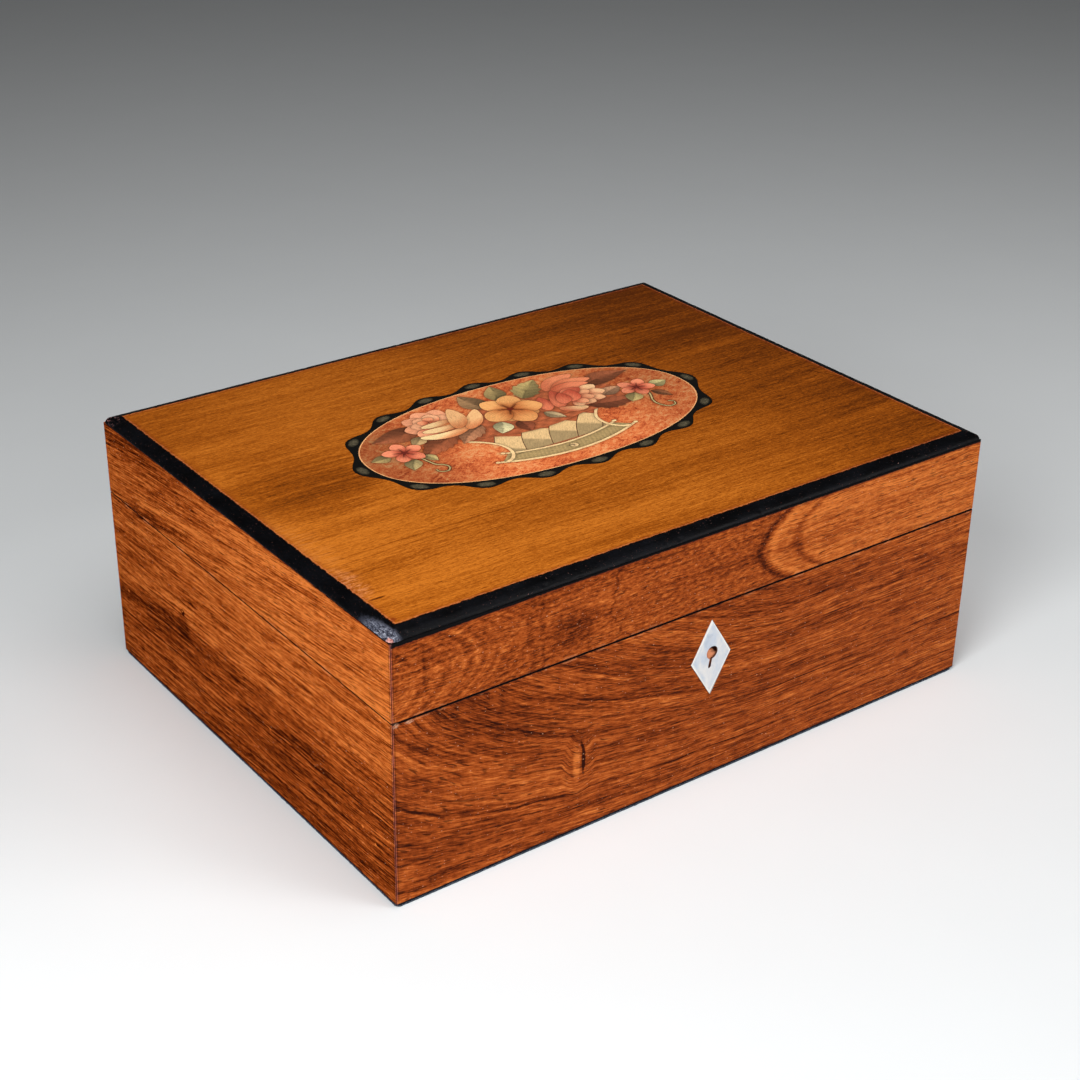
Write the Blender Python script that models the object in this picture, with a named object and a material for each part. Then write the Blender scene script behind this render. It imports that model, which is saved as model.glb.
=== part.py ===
"""Keepsake box: mitred timber walls, a lid hinged at the back, an inlaid oval and a keyhole plate.

Metres, +Z up, the front towards -Y. The origin is at the middle of the whole box's underside, under
the felt. The lid's pieces hang on an empty that lies on the hinges' axis.
"""
import math

import bmesh
import bpy
from mathutils import Matrix, Vector

# Overall sizes
BOX_LENGTH = 0.300
BOX_DEPTH = 0.2303
BASE_HEIGHT = 0.0803
LID_HEIGHT = 0.0365
CORNER_RADIUS = 0.0008

# Boards
WALL = 0.009
BASE_BOARD = 0.006
LID_BOARD = 0.008
REBATE = 0.004
EASED_EDGE = 0.0004
WORN_FOOT = 0.0003
FELT = 0.0012
FELT_INSET = 0.0002

# Gaps
GLUE_GAP = 0.0003
PARTING_GAP = 0.0003
INLAY_GAP = 0.0002
RUNNING_GAP = 0.0001

# Black edging around the lid's top
EDGING_WIDTH = 0.0058
EDGING_HEIGHT = 0.0032
EDGING_STRIP = 0.0024
EDGING_SLOPE = math.radians(15.0)
EDGING_FOOT = 0.0003
EDGING_RADIUS = 0.0014

# Inlaid oval, a little fuller than an ellipse, with a lobed border around it
OVAL_LENGTH = 0.1653
OVAL_WIDTH = 0.0861
OVAL_POWER = 2.2
OVAL_X = -0.0015
OVAL_Y = 0.0035
OVAL_THICKNESS = 0.0010
BORDER_VALLEY = 0.0021
BORDER_CREST = 0.0067
LOBES = 16
LOBE_SHARPNESS = 1.1

# Keyhole plate, its place measured from the box's middle and from the underside of its wood
PLATE_LENGTH = 0.0350
PLATE_WIDTH = 0.0207
PLATE_THICKNESS = 0.0010
PLATE_PROUD = 0.0001
PLATE_X = 0.0011
PLATE_Z = 0.0564
PLATE_LEAN = math.radians(1.8)
KEYHOLE_RADIUS = 0.00295
KEYHOLE_SLOT = 0.0016
KEYHOLE_DROP = 0.0073
KEYHOLE_LEAN = math.radians(9.0)
KEYHOLE_X = 0.0005
KEYHOLE_Z = 0.0021

# Chip in the arris below the parting line, at the front left corner
CHIP_LENGTH = 0.0090
CHIP_HEIGHT = 0.0021
CHIP_DEPTH = 0.0009

# Hinges
HINGE_SPREAD = 0.170
HINGE_LENGTH = 0.030
KNUCKLES = 5
KNUCKLE_RADIUS = 0.0020
KNUCKLE_GAP = 0.0003
PIN_RADIUS = 0.0008
AXIS_INSET = 0.0005
LEAF_WIDTH = 0.0072
LEAF_THICKNESS = 0.0010
STOP_ANGLE = math.radians(100.0)
STOP_GAP = 0.00005
SCREW_SPREAD = 0.0160
SCREW_HEAD = 0.0015
SCREW_HEAD_DEPTH = 0.0007
SCREW_SHANK = 0.0007
SCREW_LENGTH = 0.0058
SCREW_SLOT = 0.0004

# Fineness of round stretches
CORNER_STEPS = 6
EASE_STEPS = 3
EDGING_STEPS = 6
LOBE_STEPS = 12
ROUND_STEPS = 24
SCREW_STEPS = 16
OVERSHOOT = 0.001

# Heights and places that follow from the sizes above
KNUCKLE_REACH = KNUCKLE_RADIUS - AXIS_INSET
CENTRE_Y = -KNUCKLE_REACH / 2
FRONT_Y = CENTRE_Y - BOX_DEPTH / 2
BACK_Y = CENTRE_Y + BOX_DEPTH / 2
WOOD_Z = FELT + GLUE_GAP
BASE_RIM_Z = WOOD_Z + BASE_HEIGHT
LID_RIM_Z = BASE_RIM_Z + PARTING_GAP
AXIS_Y = BACK_Y - AXIS_INSET
AXIS_Z = BASE_RIM_Z + PARTING_GAP / 2
AXIS = Vector((0, AXIS_Y, AXIS_Z))
SIDES = {
    "front": (((-1, -1), (-1, 1)), ((1, -1), (1, 1))),
    "back": (((-1, 1), (-1, -1)), ((1, 1), (1, -1))),
    "left": (((-1, -1), (1, -1)), ((-1, 1), (1, 1))),
    "right": (((1, -1), (-1, -1)), ((1, 1), (-1, 1))),
}
HINGES = {"left": -HINGE_SPREAD / 2, "right": HINGE_SPREAD / 2}
SCREWS = {"outer": -SCREW_SPREAD / 2, "inner": SCREW_SPREAD / 2}


def clear_scene():
    for thing in list(bpy.data.objects):
        bpy.data.objects.remove(thing, do_unlink=True)


def make_material(name, color, roughness, metallic=0.0):
    material = bpy.data.materials.new(name)
    material.use_nodes = True
    shader = material.node_tree.nodes["Principled BSDF"]
    shader.inputs["Base Color"].default_value = (*color, 1.0)
    shader.inputs["Roughness"].default_value = roughness
    shader.inputs["Metallic"].default_value = metallic
    return material


def add_object(name, mesh_in_world, material, parent=None, origin=(0, 0, 0)):
    """Makes an object from a bmesh in world coordinates, with its origin at the given point."""
    origin = Vector(origin)
    bmesh.ops.recalc_face_normals(mesh_in_world, faces=mesh_in_world.faces)
    mesh_in_world.transform(Matrix.Translation(-origin))
    mesh = bpy.data.meshes.new(name)
    mesh_in_world.to_mesh(mesh)
    mesh_in_world.free()
    thing = bpy.data.objects.new(name, mesh)
    bpy.context.collection.objects.link(thing)
    thing.location = origin
    if parent:
        thing.parent = parent
        thing.location = origin - parent.location
    if material:
        mesh.materials.append(material)
    return thing


def add_cutter(name, mesh_in_world):
    cutter = add_object(name, mesh_in_world, None)
    cutter.hide_render = True
    cutter.display_type = "WIRE"
    return cutter


def boolean(thing, cutter, operation="DIFFERENCE"):
    modifier = thing.modifiers.new(cutter.name, "BOOLEAN")
    modifier.object = cutter
    modifier.operation = operation
    modifier.solver = "EXACT"


def smooth(thing, angle=math.radians(35.0)):
    thing.data.shade_smooth()
    thing.data.set_sharp_from_angle(angle=angle)


def block(low, high):
    """A box between two corners."""
    mesh = bmesh.new()
    bmesh.ops.create_cube(mesh, size=1.0)
    size = Vector(high) - Vector(low)
    middle = (Vector(high) + Vector(low)) / 2
    mesh.transform(Matrix.Translation(middle) @ Matrix.Diagonal((*size, 1.0)))
    return mesh


def prism(outline, low, high, place):
    """Extrudes a flat outline; place turns (u, v, height) into a point."""
    mesh = bmesh.new()
    rings = [[mesh.verts.new(place(u, v, height)) for u, v in outline] for height in (low, high)]
    mesh.faces.new(rings[0])
    mesh.faces.new(rings[1])
    for i, vert in enumerate(rings[0]):
        after = (i + 1) % len(outline)
        mesh.faces.new((vert, rings[0][after], rings[1][after], rings[1][i]))
    return mesh


def turned(profile, steps, place):
    """Turns a profile of (radius, height) points; place turns (u, v, height) into a point."""
    mesh = bmesh.new()
    rings = []
    for radius, height in profile:
        if radius == 0:
            rings.append([mesh.verts.new(place(0, 0, height))] * steps)
            continue
        ring = []
        for k in range(steps):
            turn = 2 * math.pi * k / steps
            ring.append(mesh.verts.new(place(radius * math.cos(turn), radius * math.sin(turn), height)))
        rings.append(ring)
    for lower, upper in zip(rings, rings[1:]):
        for i in range(steps):
            after = (i + 1) % steps
            corners = (lower[i], lower[after], upper[after], upper[i])
            mesh.faces.new(tuple(dict.fromkeys(corners)))
    for ring in (rings[0], rings[-1]):
        if len(set(ring)) > 1:
            mesh.faces.new(ring)
    return mesh


def along_x(middle):
    """Places a round piece with its axis along X through a point."""
    return lambda u, v, height: Vector(middle) + Vector((height, u, v))


def eased(points, radii):
    """Rounds the corners of a closed outline, each by its own radius."""
    result = []
    for i, (point, radius) in enumerate(zip(points, radii)):
        here = Vector(point)
        if radius == 0:
            result.append(here)
            continue
        before = (Vector(points[i - 1]) - here).normalized()
        after = (Vector(points[(i + 1) % len(points)]) - here).normalized()
        start = here + before * radius
        end = here + after * radius
        for step in range(EASE_STEPS + 1):
            t = step / EASE_STEPS
            result.append(start * (1 - t) ** 2 + here * 2 * t * (1 - t) + end * t ** 2)
    return result


def box_outline(inset, corner_radius):
    """The box's outline in plan, drawn in by an inset, with its corners rounded."""
    radius = max(corner_radius - inset, 0.0)
    half_x = BOX_LENGTH / 2 - inset - radius
    half_y = BOX_DEPTH / 2 - inset - radius
    corners = ((half_x, half_y), (-half_x, half_y), (-half_x, -half_y), (half_x, -half_y))
    points = []
    for quarter, (x, y) in enumerate(corners):
        for step in range(CORNER_STEPS + 1):
            angle = math.pi / 2 * (quarter + step / CORNER_STEPS)
            points.append((x + radius * math.cos(angle), CENTRE_Y + y + radius * math.sin(angle)))
    return points


def cut_away(mesh, point, normal):
    """Cuts off what lies beyond a plane and closes the cut."""
    geometry = mesh.verts[:] + mesh.edges[:] + mesh.faces[:]
    bmesh.ops.bisect_plane(mesh, geom=geometry, plane_co=point, plane_no=normal, clear_outer=True)
    open_edges = [edge for edge in mesh.edges if edge.is_boundary]
    if open_edges:
        bmesh.ops.holes_fill(mesh, edges=open_edges, sides=0)


def frame_side(profile, base_z, side, corner_radius=CORNER_RADIUS):
    """One mitred side of a frame whose cross-section is a profile of (inset, height) points."""
    mesh = bmesh.new()
    rings = []
    for inset, height in profile:
        outline = box_outline(inset, corner_radius)
        rings.append([mesh.verts.new((x, y, base_z + height)) for x, y in outline])
    count = len(rings[0])
    for ring, following in zip(rings, rings[1:] + rings[:1]):
        for i in range(count):
            after = (i + 1) % count
            mesh.faces.new((ring[i], ring[after], following[after], following[i]))
    bmesh.ops.remove_doubles(mesh, verts=mesh.verts, dist=1e-6)
    bmesh.ops.recalc_face_normals(mesh, faces=mesh.faces)
    for (corner_x, corner_y), direction in SIDES[side]:
        corner = Vector((corner_x * BOX_LENGTH / 2, CENTRE_Y + corner_y * BOX_DEPTH / 2, 0))
        normal = Vector((*direction, 0)).normalized()
        cut_away(mesh, corner - normal * GLUE_GAP / 2, normal)
    return mesh


def bevel_for_stop(mesh, upwards):
    """Bevels what lies behind the hinge axis; the two bevels meet when the lid stands fully open."""
    normal = Vector((0, math.sin(STOP_ANGLE / 2), upwards * math.cos(STOP_ANGLE / 2)))
    cut_away(mesh, AXIS - normal * STOP_GAP, normal)


def base_profile():
    seat = WALL - REBATE
    ceiling = BASE_BOARD + GLUE_GAP
    points = ((0, 0), (0, BASE_HEIGHT), (WALL, BASE_HEIGHT), (WALL, ceiling), (seat, ceiling), (seat, 0))
    return eased(points, (WORN_FOOT, EASED_EDGE, EASED_EDGE, 0, 0, 0))


def lid_profile():
    shoulder = LID_HEIGHT - EDGING_HEIGHT - GLUE_GAP
    ledge = LID_HEIGHT - LID_BOARD - GLUE_GAP
    outside = ((0, 0), (0, shoulder), (EDGING_WIDTH, shoulder))
    inside = ((EDGING_WIDTH, ledge), (WALL, ledge), (WALL, 0))
    return eased(outside + inside, (EASED_EDGE, 0, 0, 0, 0, EASED_EDGE))


def edging_profile():
    """A strip that slopes gently outwards, then a rounded drop to the side."""
    strip_end = Vector((EDGING_WIDTH - EDGING_STRIP, LID_HEIGHT - EDGING_STRIP * math.tan(EDGING_SLOPE)))
    foot = LID_HEIGHT - EDGING_HEIGHT
    side = Vector((0, foot + EDGING_FOOT))
    shoulder = Vector((side.x + 0.22 * strip_end.x, strip_end.y - 0.22 * (strip_end.y - side.y)))
    points = [Vector((EDGING_WIDTH, foot)), Vector((EDGING_WIDTH, LID_HEIGHT))]
    for step in range(EDGING_STEPS + 1):
        t = step / EDGING_STEPS
        points.append(strip_end * (1 - t) ** 2 + shoulder * 2 * t * (1 - t) + side * t ** 2)
    points.append(Vector((0, foot)))
    return points


def oval_edge(angle):
    """A point of the oval's edge, seen from its middle, and the direction outwards there."""
    point = Vector((0, 0))
    outwards = Vector((0, 0))
    halves = (OVAL_LENGTH / 2, OVAL_WIDTH / 2)
    turns = (math.cos(angle), math.sin(angle))
    for axis, (half, turn) in enumerate(zip(halves, turns)):
        share = abs(turn) ** (2 / OVAL_POWER)
        point[axis] = math.copysign(half * share, turn)
        outwards[axis] = math.copysign(share ** (OVAL_POWER - 1) / half, turn)
    return point, outwards.normalized()


def oval_outline(extra, steps_per_lobe=LOBE_STEPS):
    """The inlay's lobed outline: evenly spaced lobes around the oval, drawn out by an extra."""
    fine = 4000
    edge = [oval_edge(2 * math.pi * k / fine)[0] for k in range(fine + 1)]
    lengths = [0.0]
    for start, end in zip(edge, edge[1:]):
        lengths.append(lengths[-1] + (end - start).length)
    centre = Vector((OVAL_X, CENTRE_Y + OVAL_Y))
    points = []
    count = LOBES * steps_per_lobe
    place = 0
    for k in range(count):
        while lengths[place + 1] < lengths[-1] * k / count:
            place += 1
        part = (lengths[-1] * k / count - lengths[place]) / (lengths[place + 1] - lengths[place])
        point, outwards = oval_edge(2 * math.pi * (place + part) / fine)
        wave = (0.5 + 0.5 * math.cos(2 * math.pi * LOBES * k / count)) ** LOBE_SHARPNESS
        reach = BORDER_VALLEY + (BORDER_CREST - BORDER_VALLEY) * wave + extra
        points.append(centre + point + outwards * reach)
    return points


def upright(u, v, height):
    return Vector((u, v, height))


def into_front(u, v, depth):
    """Places a point of the front face: across, up from the wood's underside, and in from the face."""
    return Vector((u, FRONT_Y + depth, WOOD_Z + v))


def plate_outline(extra):
    """The keyhole plate's lozenge, drawn out by an extra on each side."""
    half_x = PLATE_WIDTH / 2
    half_z = PLATE_LENGTH / 2
    grow = extra * math.hypot(half_x, half_z) / (half_x * half_z)
    corners = ((half_x, 0), (0, half_z), (-half_x, 0), (0, -half_z))
    turn = Matrix.Rotation(PLATE_LEAN, 2)
    return [Vector((PLATE_X, PLATE_Z)) + turn @ Vector(corner) * (1 + grow) for corner in corners]


def keyhole_outline():
    """A round hole with a narrow slot that runs down from it."""
    half = KEYHOLE_SLOT / 2
    start = -math.pi / 2 + math.asin(half / KEYHOLE_RADIUS)
    sweep = 2 * math.pi - 2 * math.asin(half / KEYHOLE_RADIUS)
    points = []
    for step in range(ROUND_STEPS + 1):
        angle = start + sweep * step / ROUND_STEPS
        points.append(Vector((math.cos(angle), math.sin(angle))) * KEYHOLE_RADIUS)
    points.append(Vector((-half, -KEYHOLE_DROP + half)))
    points.append(Vector((0, -KEYHOLE_DROP)))
    points.append(Vector((half, -KEYHOLE_DROP + half)))
    turn = Matrix.Rotation(-KEYHOLE_LEAN, 2)
    return [Vector((PLATE_X + KEYHOLE_X, PLATE_Z + KEYHOLE_Z)) + turn @ point for point in points]


def make_materials():
    return {
        "rosewood": make_material("rosewood", (0.33, 0.11, 0.035), 0.35),
        "panel": make_material("panel", (0.40, 0.17, 0.04), 0.32),
        "ebonised": make_material("ebonised", (0.008, 0.009, 0.011), 0.30),
        "inlay": make_material("inlay", (0.58, 0.20, 0.09), 0.35),
        "pearl": make_material("pearl", (0.72, 0.76, 0.80), 0.22),
        "felt": make_material("felt", (0.045, 0.055, 0.07), 0.95),
        "brass": make_material("brass", (0.62, 0.43, 0.16), 0.35, 1.0),
    }


def make_base(materials):
    origin = (0, CENTRE_Y, WOOD_Z)
    profile = base_profile()
    walls = {}
    for side in SIDES:
        mesh = frame_side(profile, WOOD_Z, side)
        bevel_for_stop(mesh, 1)
        walls[side] = add_object(f"base_{side}", mesh, materials["rosewood"], origin=origin)
        smooth(walls[side])
    edge = WALL - REBATE + GLUE_GAP
    low = (-BOX_LENGTH / 2 + edge, FRONT_Y + edge, WOOD_Z)
    high = (BOX_LENGTH / 2 - edge, BACK_Y - edge, WOOD_Z + BASE_BOARD)
    add_object("base_bottom", block(low, high), materials["rosewood"], origin=origin)
    felt = prism(box_outline(FELT_INSET, CORNER_RADIUS), 0, FELT, upright)
    add_object("base_felt", felt, materials["felt"])
    return walls


def make_chip(front):
    """A splinter missing from the front board's upper edge, deepest at the corner."""
    corner = Vector((-BOX_LENGTH / 2, FRONT_Y, BASE_RIM_Z))
    tip = corner + Vector((CHIP_LENGTH, 0, 0))
    down = Vector((0, 0, -CHIP_HEIGHT))
    deep = Vector((0, CHIP_DEPTH, 0))
    out = Vector((-OVERSHOOT, -OVERSHOOT, 0))
    over = Vector((0, 0, OVERSHOOT))
    mesh = bmesh.new()
    points = [corner + down + out, corner + deep + over + out, tip - deep * 0.3, corner + over + out * 2]
    bmesh.ops.convex_hull(mesh, input=[mesh.verts.new(point) for point in points])
    boolean(front, add_cutter("chip", mesh))


def make_keyhole_plate(front, materials):
    floor = PLATE_THICKNESS - PLATE_PROUD + GLUE_GAP
    recess = prism(plate_outline(INLAY_GAP), -OVERSHOOT, floor, into_front)
    boolean(front, add_cutter("plate_recess", recess))
    inner = PLATE_THICKNESS - PLATE_PROUD
    plate = add_object("keyhole_plate", prism(plate_outline(0), -PLATE_PROUD, inner, into_front),
                       materials["pearl"])
    hole = prism(keyhole_outline(), -OVERSHOOT, inner + OVERSHOOT, into_front)
    boolean(plate, add_cutter("keyhole", hole))


def make_lid(materials, axis):
    origin = (0, CENTRE_Y, LID_RIM_Z)
    walls = {}
    for side in SIDES:
        mesh = frame_side(lid_profile(), LID_RIM_Z, side)
        bevel_for_stop(mesh, -1)
        walls[side] = add_object(f"lid_{side}", mesh, materials["rosewood"], axis, origin)
        smooth(walls[side])
        strip = frame_side(edging_profile(), LID_RIM_Z, side, EDGING_RADIUS)
        edging = add_object(f"edging_{side}", strip, materials["ebonised"], axis, origin)
        smooth(edging, math.radians(25.0))
    edge = EDGING_WIDTH + GLUE_GAP
    top_z = LID_RIM_Z + LID_HEIGHT
    low = (-BOX_LENGTH / 2 + edge, FRONT_Y + edge, top_z - LID_BOARD)
    high = (BOX_LENGTH / 2 - edge, BACK_Y - edge, top_z)
    board = add_object("lid_top", block(low, high), materials["panel"], axis, origin)
    floor = top_z - OVAL_THICKNESS - GLUE_GAP
    recess = prism(oval_outline(INLAY_GAP), floor, top_z + OVERSHOOT, upright)
    boolean(board, add_cutter("oval_recess", recess))
    oval = prism(oval_outline(0), top_z - OVAL_THICKNESS, top_z, upright)
    add_object("lid_inlay", oval, materials["inlay"], axis, origin)
    return walls


def knuckle_spans(own):
    """The stretches along a hinge of one leaf's knuckles, from its middle: even ones or odd ones."""
    pitch = (HINGE_LENGTH + KNUCKLE_GAP) / KNUCKLES
    starts = [-HINGE_LENGTH / 2 + pitch * k for k in range(KNUCKLES)]
    return [(start, start + pitch - KNUCKLE_GAP) for start in starts[own::2]]


def leaf_outline(middle_x, own):
    """A leaf in plan: a plate that reaches the axis only at its own knuckles."""
    inner = AXIS_Y - LEAF_WIDTH
    clear = AXIS_Y - KNUCKLE_RADIUS - KNUCKLE_GAP
    points = [(middle_x - HINGE_LENGTH / 2, inner)]
    if own:
        points.append((middle_x - HINGE_LENGTH / 2, clear))
    for start, end in knuckle_spans(own):
        if start > -HINGE_LENGTH / 2:
            points.append((middle_x + start, clear))
        points.append((middle_x + start, AXIS_Y))
        points.append((middle_x + end, AXIS_Y))
        if end < HINGE_LENGTH / 2 - KNUCKLE_GAP:
            points.append((middle_x + end, clear))
    if own:
        points.append((middle_x + HINGE_LENGTH / 2, clear))
    points.append((middle_x + HINGE_LENGTH / 2, inner))
    return points


def add_leaf(name, middle_x, own, upwards, material, parent):
    """One hinge leaf: a plate let into a rim, with its knuckles; upwards is 1 on the lid."""
    near = AXIS_Z + upwards * PARTING_GAP / 2
    far = near + upwards * LEAF_THICKNESS
    plate = prism(leaf_outline(middle_x, own), min(near, far), max(near, far), upright)
    leaf = add_object(name, plate, material, parent, AXIS + Vector((middle_x, 0, 0)))
    place = along_x(AXIS)
    knuckles = bmesh.new()
    for start, end in knuckle_spans(own):
        ends = ((KNUCKLE_RADIUS, middle_x + start), (KNUCKLE_RADIUS, middle_x + end))
        piece = turned(ends, ROUND_STEPS, place)
        mesh = bpy.data.meshes.new("knuckle")
        piece.to_mesh(mesh)
        piece.free()
        knuckles.from_mesh(mesh)
        bpy.data.meshes.remove(mesh)
    boolean(leaf, add_cutter(f"{name}_knuckles", knuckles), "UNION")
    reach = HINGE_LENGTH / 2 + OVERSHOOT
    bore_ends = ((PIN_RADIUS + RUNNING_GAP, middle_x - reach), (PIN_RADIUS + RUNNING_GAP, middle_x + reach))
    boolean(leaf, add_cutter(f"{name}_bore", turned(bore_ends, ROUND_STEPS, place)))
    smooth(leaf)
    return leaf


def let_in_hinge(wall, name, middle_x, upwards):
    """Cuts the leaf's seat and the knuckles' hollow into a back wall."""
    half = HINGE_LENGTH / 2 + GLUE_GAP
    rim = AXIS_Z + upwards * PARTING_GAP / 2
    floor = rim + upwards * (LEAF_THICKNESS + GLUE_GAP)
    outside = rim - upwards * OVERSHOOT
    low = (middle_x - half, AXIS_Y - LEAF_WIDTH - GLUE_GAP, min(floor, outside))
    high = (middle_x + half, BACK_Y + OVERSHOOT, max(floor, outside))
    boolean(wall, add_cutter(f"{name}_seat", block(low, high)))
    hollow = KNUCKLE_RADIUS + GLUE_GAP
    ends = ((hollow, middle_x - half), (hollow, middle_x + half))
    boolean(wall, add_cutter(f"{name}_hollow", turned(ends, ROUND_STEPS, along_x(AXIS))))


def screw_profile(extra):
    """Countersunk head, shank and point, as (radius, depth) from the head's top."""
    return (
        (SCREW_HEAD + extra, 0.0),
        (SCREW_SHANK + extra, SCREW_HEAD_DEPTH),
        (SCREW_SHANK + extra, SCREW_LENGTH - SCREW_SHANK),
        (0, SCREW_LENGTH + extra),
    )


def add_screw(name, x, upwards, leaf, wall, material, parent):
    """A slotted screw whose head lies flush in its leaf, with the hole it needs in leaf and wall."""
    y = AXIS_Y - (LEAF_WIDTH + KNUCKLE_RADIUS + KNUCKLE_GAP) / 2
    top = Vector((x, y, AXIS_Z + upwards * PARTING_GAP / 2))
    place = lambda u, v, depth: top + Vector((u, v, upwards * depth))
    screw = add_object(name, turned(screw_profile(0), SCREW_STEPS, place), material, parent, top)
    reach = SCREW_HEAD + OVERSHOOT
    near = top.z - upwards * OVERSHOOT
    far = top.z + upwards * SCREW_HEAD_DEPTH / 2
    low = (x - reach, y - SCREW_SLOT / 2, min(near, far))
    high = (x + reach, y + SCREW_SLOT / 2, max(near, far))
    boolean(screw, add_cutter(f"{name}_slot", block(low, high)))
    smooth(screw)
    rise = SCREW_HEAD / SCREW_HEAD_DEPTH * OVERSHOOT
    profile = ((SCREW_HEAD + RUNNING_GAP + rise, -OVERSHOOT),) + screw_profile(RUNNING_GAP)[1:]
    hole = add_cutter(f"{name}_hole", turned(profile, SCREW_STEPS, place))
    boolean(leaf, hole)
    boolean(wall, hole)


def make_hinges(materials, base_back, lid_back, axis):
    brass = materials["brass"]
    for side, middle_x in HINGES.items():
        let_in_hinge(base_back, f"hinge_{side}_base", middle_x, -1)
        let_in_hinge(lid_back, f"hinge_{side}_lid", middle_x, 1)
        base_leaf = add_leaf(f"hinge_{side}_base_leaf", middle_x, 0, -1, brass, None)
        lid_leaf = add_leaf(f"hinge_{side}_lid_leaf", middle_x, 1, 1, brass, axis)
        half = HINGE_LENGTH / 2
        pin_ends = ((PIN_RADIUS, middle_x - half), (PIN_RADIUS, middle_x + half))
        pin = turned(pin_ends, ROUND_STEPS, along_x(AXIS))
        smooth(add_object(f"hinge_{side}_pin", pin, brass, origin=AXIS + Vector((middle_x, 0, 0))))
        for place, offset in SCREWS.items():
            x = middle_x + math.copysign(1, middle_x) * -offset
            add_screw(f"screw_{side}_base_{place}", x, -1, base_leaf, base_back, brass, None)
            add_screw(f"screw_{side}_lid_{place}", x, 1, lid_leaf, lid_back, brass, axis)


def main():
    clear_scene()
    materials = make_materials()
    axis = bpy.data.objects.new("lid_axis", None)
    axis.location = AXIS
    bpy.context.collection.objects.link(axis)
    base_walls = make_base(materials)
    make_chip(base_walls["front"])
    make_keyhole_plate(base_walls["front"], materials)
    lid_walls = make_lid(materials, axis)
    make_hinges(materials, base_walls["back"], lid_walls["back"], axis)


main()
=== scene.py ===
"""The looks of the inlaid keepsake box: woods, marquetry, worn black edging, pearl keyhole plate, felt.

Metres, +Z up, the front towards -Y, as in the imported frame. Names that end in _MM hold millimetres, and the
materials work in millimetres too. Colours of three parts are as they look on a screen, 0 to 255.
"""

import math
import random
from functools import partialmethod

import bmesh
import bpy
import numpy as np
from mathutils import Matrix, Vector, geometry, kdtree, noise


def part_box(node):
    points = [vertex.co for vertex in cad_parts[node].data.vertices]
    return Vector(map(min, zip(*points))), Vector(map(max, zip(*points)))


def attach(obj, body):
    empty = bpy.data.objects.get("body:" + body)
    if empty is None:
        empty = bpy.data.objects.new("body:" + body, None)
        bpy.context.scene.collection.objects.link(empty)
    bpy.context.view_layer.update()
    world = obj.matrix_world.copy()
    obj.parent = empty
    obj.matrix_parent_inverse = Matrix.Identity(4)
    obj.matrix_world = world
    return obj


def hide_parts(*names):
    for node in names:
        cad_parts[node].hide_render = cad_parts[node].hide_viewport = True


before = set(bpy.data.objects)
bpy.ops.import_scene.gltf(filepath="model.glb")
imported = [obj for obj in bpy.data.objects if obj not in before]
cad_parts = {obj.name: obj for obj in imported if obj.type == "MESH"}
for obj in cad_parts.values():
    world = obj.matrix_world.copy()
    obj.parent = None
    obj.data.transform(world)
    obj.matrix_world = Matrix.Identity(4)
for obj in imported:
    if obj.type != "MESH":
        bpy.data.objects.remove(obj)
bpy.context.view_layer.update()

MM = 0.001

# Camera, at the photograph's viewing angle
CAMERA_AT = (-0.46087, -0.62112, 0.46666)
CAMERA_AZIMUTH = math.radians(-36.622)
CAMERA_ELEVATION = math.radians(27.632)
CAMERA_ROLL = math.radians(0.774)
CAMERA_LENS_MM = 65.69
SENSOR_MM = 36

# Lamps, each with its place, what it points at, its width and its power; and the floor
LAMPS = {
    "key": ((-0.75, -0.45, 0.62), (-0.10, -0.05, 0.05), 0.55, 8.2),
    "fill": ((0.60, -1.00, 0.60), (0.10, -0.10, 0.05), 0.6, 5.2),
    "over": ((-0.05, -0.42, 1.10), (-0.05, -0.30, 0), 0.9, 5.4),
}
WORLD_LIGHT = 0.05
FLOOR_REACH = 6
FLOOR_DARKER, FLOOR_PALER = (0.82, 0.842, 0.85, 1), (0.84, 0.862, 0.87, 1)


def box_mm(name):
    """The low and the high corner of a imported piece, in millimetres."""
    return [[part / MM for part in corner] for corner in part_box(name)]


# The box's own faces, in millimetres
LEFT, (_, FRONT, BOTTOM) = box_mm("base_left")[0][0], box_mm("base_front")[0]
RIGHT, BACK, TOP = box_mm("base_right")[1][0], box_mm("base_back")[1][1], box_mm("lid_top")[1][2]
PARTING_Z = (box_mm("base_front")[1][2] + box_mm("lid_front")[0][2]) / 2
CENTRE_Y = (FRONT + BACK) / 2
HALF_X, HALF_Y = (RIGHT - LEFT) / 2, (BACK - FRONT) / 2
EDGING_FOOT_Z = box_mm("edging_front")[0][2]
EDGING_WIDTH_MM = box_mm("edging_front")[1][1] - FRONT
FELT_MM = box_mm("base_felt")[1][2]
(PLATE_LEFT, _, PLATE_FOOT), (PLATE_RIGHT, _, PLATE_TOP) = box_mm("keyhole_plate")
PLATE_X, PLATE_Z = (PLATE_LEFT + PLATE_RIGHT) / 2, (PLATE_FOOT + PLATE_TOP) / 2


def linear(color):
    """A colour as shaders take it: one of three parts, 0 to 255, is turned linear, and others stay."""
    if len(color) != 3:
        return color
    shares = [part / 255 for part in color]
    return tuple(s / 12.92 if s <= 0.04045 else ((s + 0.055) / 1.055) ** 2.4 for s in shares) + (1,)


def feed(tree, socket, item):
    if isinstance(item, Value):
        tree.links.new(item.socket, socket)
    else:
        socket.default_value = linear(item) if isinstance(item, tuple) else item


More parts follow.
